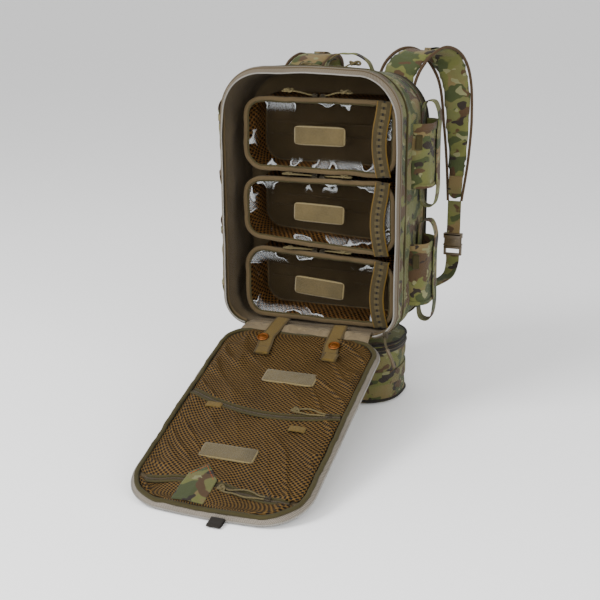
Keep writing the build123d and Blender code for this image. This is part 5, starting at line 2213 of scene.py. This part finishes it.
    def build_webbing(self, side: str, x: float, lean: int, foot: Vector) -> None:
        """Webbing above and below a buckle; the lower one follows the plug."""
        y = self.buckle_y + 1
        high = self.socket[1]
        rise = ((-1, -1), (0.4, 8), (0.6, 32), (1.0, 60))
        points = [(x, y + back, high + lift) for back, lift in rise]
        route = Route(points)
        upper = swept(
            f"web_upper_{side}", route.path(X_AXIS), WEB_SECTION, (50, 12), route.length
        )
        nodes = ("strap_webbing",) if side == "right" else ()
        dress(upper, WEBBING_CAMO, "webbing", "root", *nodes)
        mid = Vector((x - 22 if lean > 0 else x - 22, y - 34, 203))
        marks = [(x, y - 1, self.plug_bottom + 3), (x, y - 1, 236), (x - 5, y - 11, 214), mid, foot]
        route = Route(marks)
        turned = Vector((0.9, -0.44 * lean, 0)).normalized()

        def across(share: float) -> Vector:
            """Direction of the strap's width, which twists on the way down."""
            return X_AXIS.lerp(turned, ease(share * 2.2)).normalized()

        lower = swept(f"web_lower_{side}", route.path(across), WEB_SECTION, (70, 12), route.length)
        WEBBING_CAMO.apply(lower)
        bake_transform(lower)

    def build_handle(self) -> None:
        """Grab handle over the rear of the bag."""
        low, high = corners_of("grab_handle")
        y, foot, top = (low.y + high.y) / 2, low.z, high.z - 1
        points = [(-27, y, foot - 1), (-20, y, lerp(foot, top, 0.5)), (-2, y, top - 1), (16, y, top)]
        points += [(32, y, top - 0.5), (53, y, lerp(foot, top, 0.55)), (62, y, foot - 1)]
        route = Route(points)
        strip = swept(
            "handle_webbing", route.path(Y_AXIS), flat_section(high.y - low.y, 2.4, 0.35),
            (90, 14), route.length
        )
        dress(strip, WEBBING_CAMO, "webbing", "root", "grab_handle")

    def build(self) -> None:
        """Builds both straps, both buckles and the handle."""
        self.build_strap("right", self.right)
        self.build_strap("left", self.left)
        for side, x, lean, foot in (
            ("right", 198, 1, Vector((154, 37, 197))), ("left", -104, -1, Vector((-146, 37, 197)))
        ):
            socket = self.build_socket(side, x)
            nodes = ("buckle_sockets",) if side == "right" else ()
            dress(socket, POLYMER, "polymer", "root", *nodes)
            self.build_plug(side, x)
            self.build_webbing(side, x, lean, foot)
        self.build_handle()
        LOG.info("harness: straps, buckles, handle")


def seal(piece: Piece) -> None:
    """Closes the open ends of a tube and turns its faces outwards."""
    bm = bmesh.new()
    bm.from_mesh(piece.data)
    rims = [edge for edge in bm.edges if edge.is_boundary]
    bmesh.ops.holes_fill(bm, edges=rims, sides=0)
    bmesh.ops.recalc_face_normals(bm, faces=bm.faces)
    bm.to_mesh(piece.data)
    bm.free()


# ------------------------------------------------------------------ sliders and cords
@dataclass
class Pull:
    """A zip slider and the cord through it.

    Its route's points are given from the slider's end face: away from it, across and up.
    """

    name: str
    slider: str
    body: str
    foot: Vector
    away: Vector
    across: Vector
    up: Vector
    route: tuple[tuple[float, float, float], ...]
    length: float
    slider_half: float = 5.0
    diameter: float = 2.6
    far_end: str = "object"
    knot_share: float = 0.4
    knot_size: float = 1.0
    finish: Finish = CORD

    def build_slider(self, scale: float = 1.0) -> None:
        """Slider: two plates, the neck between them and the bridge for the cord."""
        turn = basis(self.foot, self.away, self.up) @ Matrix.Scale(scale, 4)
        bm = bmesh.new()
        add_block(bm, (10, 8, 1.2), turn @ Matrix.Translation((0, 0, 0.7)), 0.5)
        add_block(bm, (3.4, 2.6, 2.0), turn @ Matrix.Translation((2.6, 0, 1.9)), 0.4)
        add_block(bm, (9.6, 7.4, 1.2), turn @ Matrix.Translation((0, 0, 2.9)), 0.5)
        for x in (-3.4, 3.4):
            add_block(bm, (1.4, 1.8, 2.2), turn @ Matrix.Translation((x, 0, 4.1)), 0.4)
        add_block(bm, (8.4, 1.8, 1.0), turn @ Matrix.Translation((0, 0, 5.1)), 0.4)
        dress(to_object(f"{self.slider}_metal", bm), SLIDER_METAL, "slider_metal", self.body, self.slider)

    def points(self) -> list[Vector]:
        """The route's points, in millimetres."""
        start = self.foot + self.away * self.slider_half
        return [start + self.away * a + self.across * b + self.up * c for a, b, c in self.route]

    def build_cord(self) -> Piece:
        """The cord, one open curve."""
        points = self.points()
        curve = bpy.data.curves.new(self.name + "_cord", "CURVE")
        curve.dimensions = "3D"
        spline = curve.splines.new("NURBS")
        spline.points.add(len(points) - 1)
        for knot, spot in zip(spline.points, points):
            knot.co = (*(spot * MM), 1.0)
        spline.order_u = 3
        spline.use_endpoint_u = True
        spline.resolution_u = 12
        cord = bpy.data.objects.new(self.name + "_cord", curve)
        bpy.context.scene.collection.objects.link(cord)
        self.line = self.walk(cord)
        curve.bevel_depth = self.diameter / 2 * MM
        curve.bevel_resolution = 3
        curve.use_fill_caps = True
        return dress(cord, self.finish, "cord", self.body, self.name)

    @staticmethod
    def walk(cord: Piece) -> list[Vector]:
        """Points along the cord's own curve, in millimetres."""
        view = bpy.context.evaluated_depsgraph_get()
        mesh = bpy.data.meshes.new_from_object(cord.evaluated_get(view))
        spots = [vert.co / MM for vert in mesh.vertices]
        bpy.data.meshes.remove(mesh)
        return spots

    def build_knot(self) -> Piece:
        """Overhand knot that holds the two sides of the loop together."""
        count = len(self.line)
        first = self.line[int(count * self.knot_share)]
        last = self.line[int(count * (1 - self.knot_share)) - 1]
        centre = (first + last) / 2 + self.up * 0.8
        turn = basis(centre, self.away, self.up)
        scale = 1.85 * self.knot_size

        def spot(share: float) -> Vector:
            """Point of the knot's strand."""
            t = share * math.tau
            x, y = math.sin(t) + 2 * math.sin(2 * t), math.cos(t) - 2 * math.cos(2 * t)
            return turn @ Vector((x * scale * 1.15, y * scale * 0.95, -math.sin(3 * t) * scale * 0.8))

        def path(share: float) -> Station:
            """Point of the strand, with two directions square to it."""
            point = spot(share)
            heading = (spot(share + 0.004) - spot(share - 0.004)).normalized()
            out = point - centre
            out = (out - heading * out.dot(heading)).normalized()
            return point, out, heading.cross(out)

        strand = round_section(1.6 * self.knot_size**0.5)
        knot = swept(f"{self.name}_knot", path, strand, (90, 10), 60, ends=False)
        return dress(knot, CORD, "cord", self.body)

    def build(self) -> None:
        self.build_slider()
        cord = self.build_cord()
        knot = self.build_knot()
        self.points()[0] * MM


MODULE_ROUTE = (
    (0, 2.2, 3.0), (8, 2.6, 4.6), (19, 10.0, 8.6), (32, 14.5, 11.0), (43, 15.5, 10.2), (50, 13.0, 9.4),
    (50.5, 8.0, 10.0), (44, 7.0, 10.6), (32, 9.0, 10.6), (20, 3.0, 8.0), (9, -1.4, 4.6), (0, -2.2, 3.0)
)
UPPER_ROUTE = (
    (0, -2.2, 3.0), (9, -2.2, 3.0), (20, -6.5, 4.0), (33, -7.5, 4.4), (45, -3.2, 4.3), (54, -3.8, 4.2),
    (58, 0.5, 4.3), (53, 4.4, 4.4), (42, 3.6, 4.5), (28, 6.2, 4.4), (12, 2.2, 3.0), (0, 2.2, 3.0)
)
LOWER_ROUTE = (
    (0, -2.2, 3.0), (9, -2.2, 3.0), (20, -7.0, 4.0), (33, -8.5, 4.6), (46, -5.0, 4.8), (57, -1.5, 4.6),
    (67, -7.0, 4.4), (74, -8.0, 4.3), (76, -3.5, 4.5), (70, 0.5, 4.8), (60, 3.2, 4.7), (46, 2.0, 4.4),
    (30, 6.0, 3.9), (13, 2.2, 3.0), (0, 2.2, 3.0)
)
REAR_LEFT_ROUTE = (
    (0, 2.2, 2.2), (9, 2.2, 2.2), (21, 4.4, 6), (34, 4, 5.6), (43, 2.9, 5.4), (47, -1.2, 5.3),
    (41, -4.2, 5.5), (28, -3, 6), (12, -2.2, 2.2), (0, -2.2, 2.2)
)
REAR_RIGHT_ROUTE = (
    (0, 2.2, 2.2), (7, 2.2, 2.2), (17, 4.2, 8.6), (26, 3.2, 9.6), (30, -0.6, 9.8), (25, -4, 9.2),
    (15, -3.4, 8), (6, -2.2, 2.2), (0, -2.2, 2.2)
)
MAIN_ROUTE = ((0, 0, 0), (0, 0, -9), (5, -1.4, -21), (12, -1.8, -34), (16, -0.4, -48))


class Pulls:
    """All the sliders and their cords."""

    ZIP_TOP = 3.4

    def __init__(self, panel: Panel, modules: Sequence[Module]) -> None:
        """Keeps the panel and the modules that the sliders stand on."""
        self.panel = panel
        self.modules = modules

    def build_modules(self) -> None:
        """Two sliders and pulls on the top of each module."""
        x_axis, front, up = X_AXIS, FORWARD, Z_AXIS
        for module in self.modules:
            free = module.number == 1
            for side, sign in (("left", -1), ("right", 1)):
                node = f"slider_{module.number}_{side}"
                low, high = corners_of(node)
                foot = Vector(((low.x + high.x) / 2, (low.y + high.y) / 2, low.z))
                shift = module.settled(foot) - foot
                foot += Vector((shift.x * 0.6, 0, shift.z))
                Pull(
                    name=f"pull_{module.number}_{side}", slider=node, body=f"zip_{module.number}_{side}",
                    foot=foot, away=x_axis * sign, across=front, up=up,
                    route=tuple((a, b, 3 + (c - 3) * (1.0 if free else 0.35)) for a, b, c in MODULE_ROUTE),
                    length=109.7, knot_share=0.30, knot_size=1.3 if free else 0.9
                ).build()

    def build_pockets(self) -> None:
        """Sliders and pulls of the panel's two pockets."""
        panel = self.panel
        rows = (("upper", 113, 218, UPPER_ROUTE, 119.0, 0.36), ("lower", 85, 411, LOWER_ROUTE, 158.2, 0.40))
        for name, x, along, route, length, share in rows:
            Pull(
                name=f"pocket_pull_{name}", slider=f"pocket_slider_{name}", body=f"pocket_zip_{name}",
                foot=panel.on(x, along, self.ZIP_TOP), away=Vector((-1, 0, 0)), across=panel.along,
                up=panel.inward, route=route, length=length, knot_share=share
            ).build()

    def build_rear(self) -> None:
        """Two sliders that meet at the top of the rear zip."""
        rows = (("left", -1, REAR_LEFT_ROUTE, 94.8), ("right", 1, REAR_RIGHT_ROUTE, 61.6))
        for side, sign, route, length in rows:
            low, high = corners_of(f"rear_slider_{side}")
            Pull(
                name=f"rear_pull_{side}", slider=f"rear_slider_{side}", body=f"rear_zip_{side}",
                foot=Vector(((low.x + high.x) / 2, (low.y + high.y) / 2, low.z)), away=Vector((sign, 0, 0)),
                across=FORWARD, up=Z_AXIS, route=route, length=length,
                knot_share=0.36, knot_size=1.6
            ).build()

    def build_main(self) -> None:
        """Slider of the main zip and its thick pull, which ends in a moulded tube."""
        low, high = corners_of("main_slider")
        middle = (low + high) / 2
        foot = Vector((middle.x, high.y, middle.z))
        pull = Pull(
            name="main_pull", slider="main_slider", body="main_zip", foot=foot, away=Vector((0, 0, -1)),
            across=X_AXIS, up=FORWARD,
            route=tuple((-z, x, 3 - y) for x, y, z in MAIN_ROUTE), length=51.3, slider_half=5.5,
            diameter=4.0, far_end="fitting", finish=THICK_CORD
        )
        pull.build_slider(1.15)
        cord = pull.build_cord()
        line = pull.line
        tail = Route(line[int(len(line) * 0.45) :: 3] + [line[-1] + (line[-1] - line[-2]).normalized() * 3])
        tube = swept("main_pull_tube", tail.path(Y_AXIS), round_section(3.1), (40, 16), tail.length)
        dress(tube, POLYMER, "polymer", "main_zip")
        pull.points()[0] * MM

    def build(self) -> None:
        """Builds every slider and cord."""
        self.build_modules()
        self.build_pockets()
        self.build_rear()
        self.build_main()
        LOG.info("pulls: sliders, cords, knots")


# ------------------------------------------------------------------ stage
@dataclass
class Studio:
    """Camera, floor and lights."""

    place: tuple[float, float, float] = (0.6392, -1.861, 0.755)
    azimuth: float = 20.84
    pitch: float = 16.58
    roll: float = -0.22
    lens: float = 66.0

    def build_camera(self) -> None:
        """Camera at the product view's angle."""
        turn, dip, roll = (math.radians(value) for value in (self.azimuth, self.pitch, self.roll))
        ahead = Vector((-math.sin(turn) * math.cos(dip), math.cos(turn) * math.cos(dip), -math.sin(dip)))
        right = Vector((math.cos(turn), math.sin(turn), 0))
        up = right.cross(ahead)
        side = right * math.cos(roll) + up * math.sin(roll)
        top = up * math.cos(roll) - right * math.sin(roll)
        lens = bpy.data.cameras.new("product_view")
        lens.lens = self.lens
        lens.sensor_width = 36.0
        camera = bpy.data.objects.new("product_view", lens)
        turned = Matrix((side, top, -ahead)).transposed().to_4x4()
        turned.translation = Vector(self.place)
        camera.matrix_world = turned
        bpy.context.scene.collection.objects.link(camera)
        bpy.context.scene.camera = camera

    def build_light(self, name: str, place: Sequence[float], size: float, energy: float) -> None:
        """Square area light that faces the bag."""
        lamp = bpy.data.lights.new(name, "AREA")
        lamp.size = size
        lamp.energy = energy
        lamp_object = bpy.data.objects.new(name, lamp)
        heading = Vector((0, -0.1, 0.25)) - Vector(place)
        turn = heading.to_track_quat("-Z", "Y").to_matrix().to_4x4()
        turn.translation = Vector(place)
        lamp_object.matrix_world = turn
        bpy.context.scene.collection.objects.link(lamp_object)

    def build_room(self) -> None:
        """Pale floor and an even sky."""
        bm = bmesh.new()
        bmesh.ops.create_circle(bm, cap_ends=True, segments=96, radius=40000)
        floor = to_object("floor", bm)
        paint = bpy.data.materials.new("floor_paint")
        paint.use_nodes = True
        shader = paint.node_tree.nodes["Principled BSDF"]
        shader.inputs["Base Color"].default_value = (0.9, 0.9, 0.9, 1)
        shader.inputs["Roughness"].default_value = 0.9
        floor.data.materials.append(paint)
        world = bpy.data.worlds.new("studio")
        world.use_nodes = True
        sky = world.node_tree.nodes["Background"]
        sky.inputs[0].default_value = (1, 1, 1, 1)
        sky.inputs[1].default_value = 1.05
        bpy.context.scene.world = world

    def build(self) -> None:
        """Builds the camera, the room and the lights."""
        self.build_camera()
        self.build_room()
        self.build_light("key", (-1.4, -1.9, 2.2), 1.4, 100)
        self.build_light("fill", (2.0, -1.6, 1.3), 1.6, 34)
        self.build_light("front", (0.2, -2.4, 0.9), 1.0, 30)
        LOG.info("studio: camera, floor, lights")


def main() -> None:
    """Builds every sub-assembly in order."""
    logging.basicConfig(level=logging.INFO, format="%(message)s")
    studio = Studio()
    studio.build()
    bag = Bag()
    bag.build()
    settles = (
        Settle(5, 0, 0, -3, -5, 0.0, 80.0), Settle(4, -7, -4, 6, -11, 1.5, 90.0),
        Settle(5, 0, -11, -7, -6, 4.0, 100.0)
    )
    modules = [Module(number, settle) for number, settle in enumerate(settles, start=1)]
    for module in modules:
        module.build()
    panel = Panel()
    panel.build()
    Pouch().build()
    for side in (-1, 1):
        SideGear(side).build()
    BackPanel(bag).build()
    Harness().build()
    Pulls(panel, modules).build()


if __name__ == "__main__":
    main()
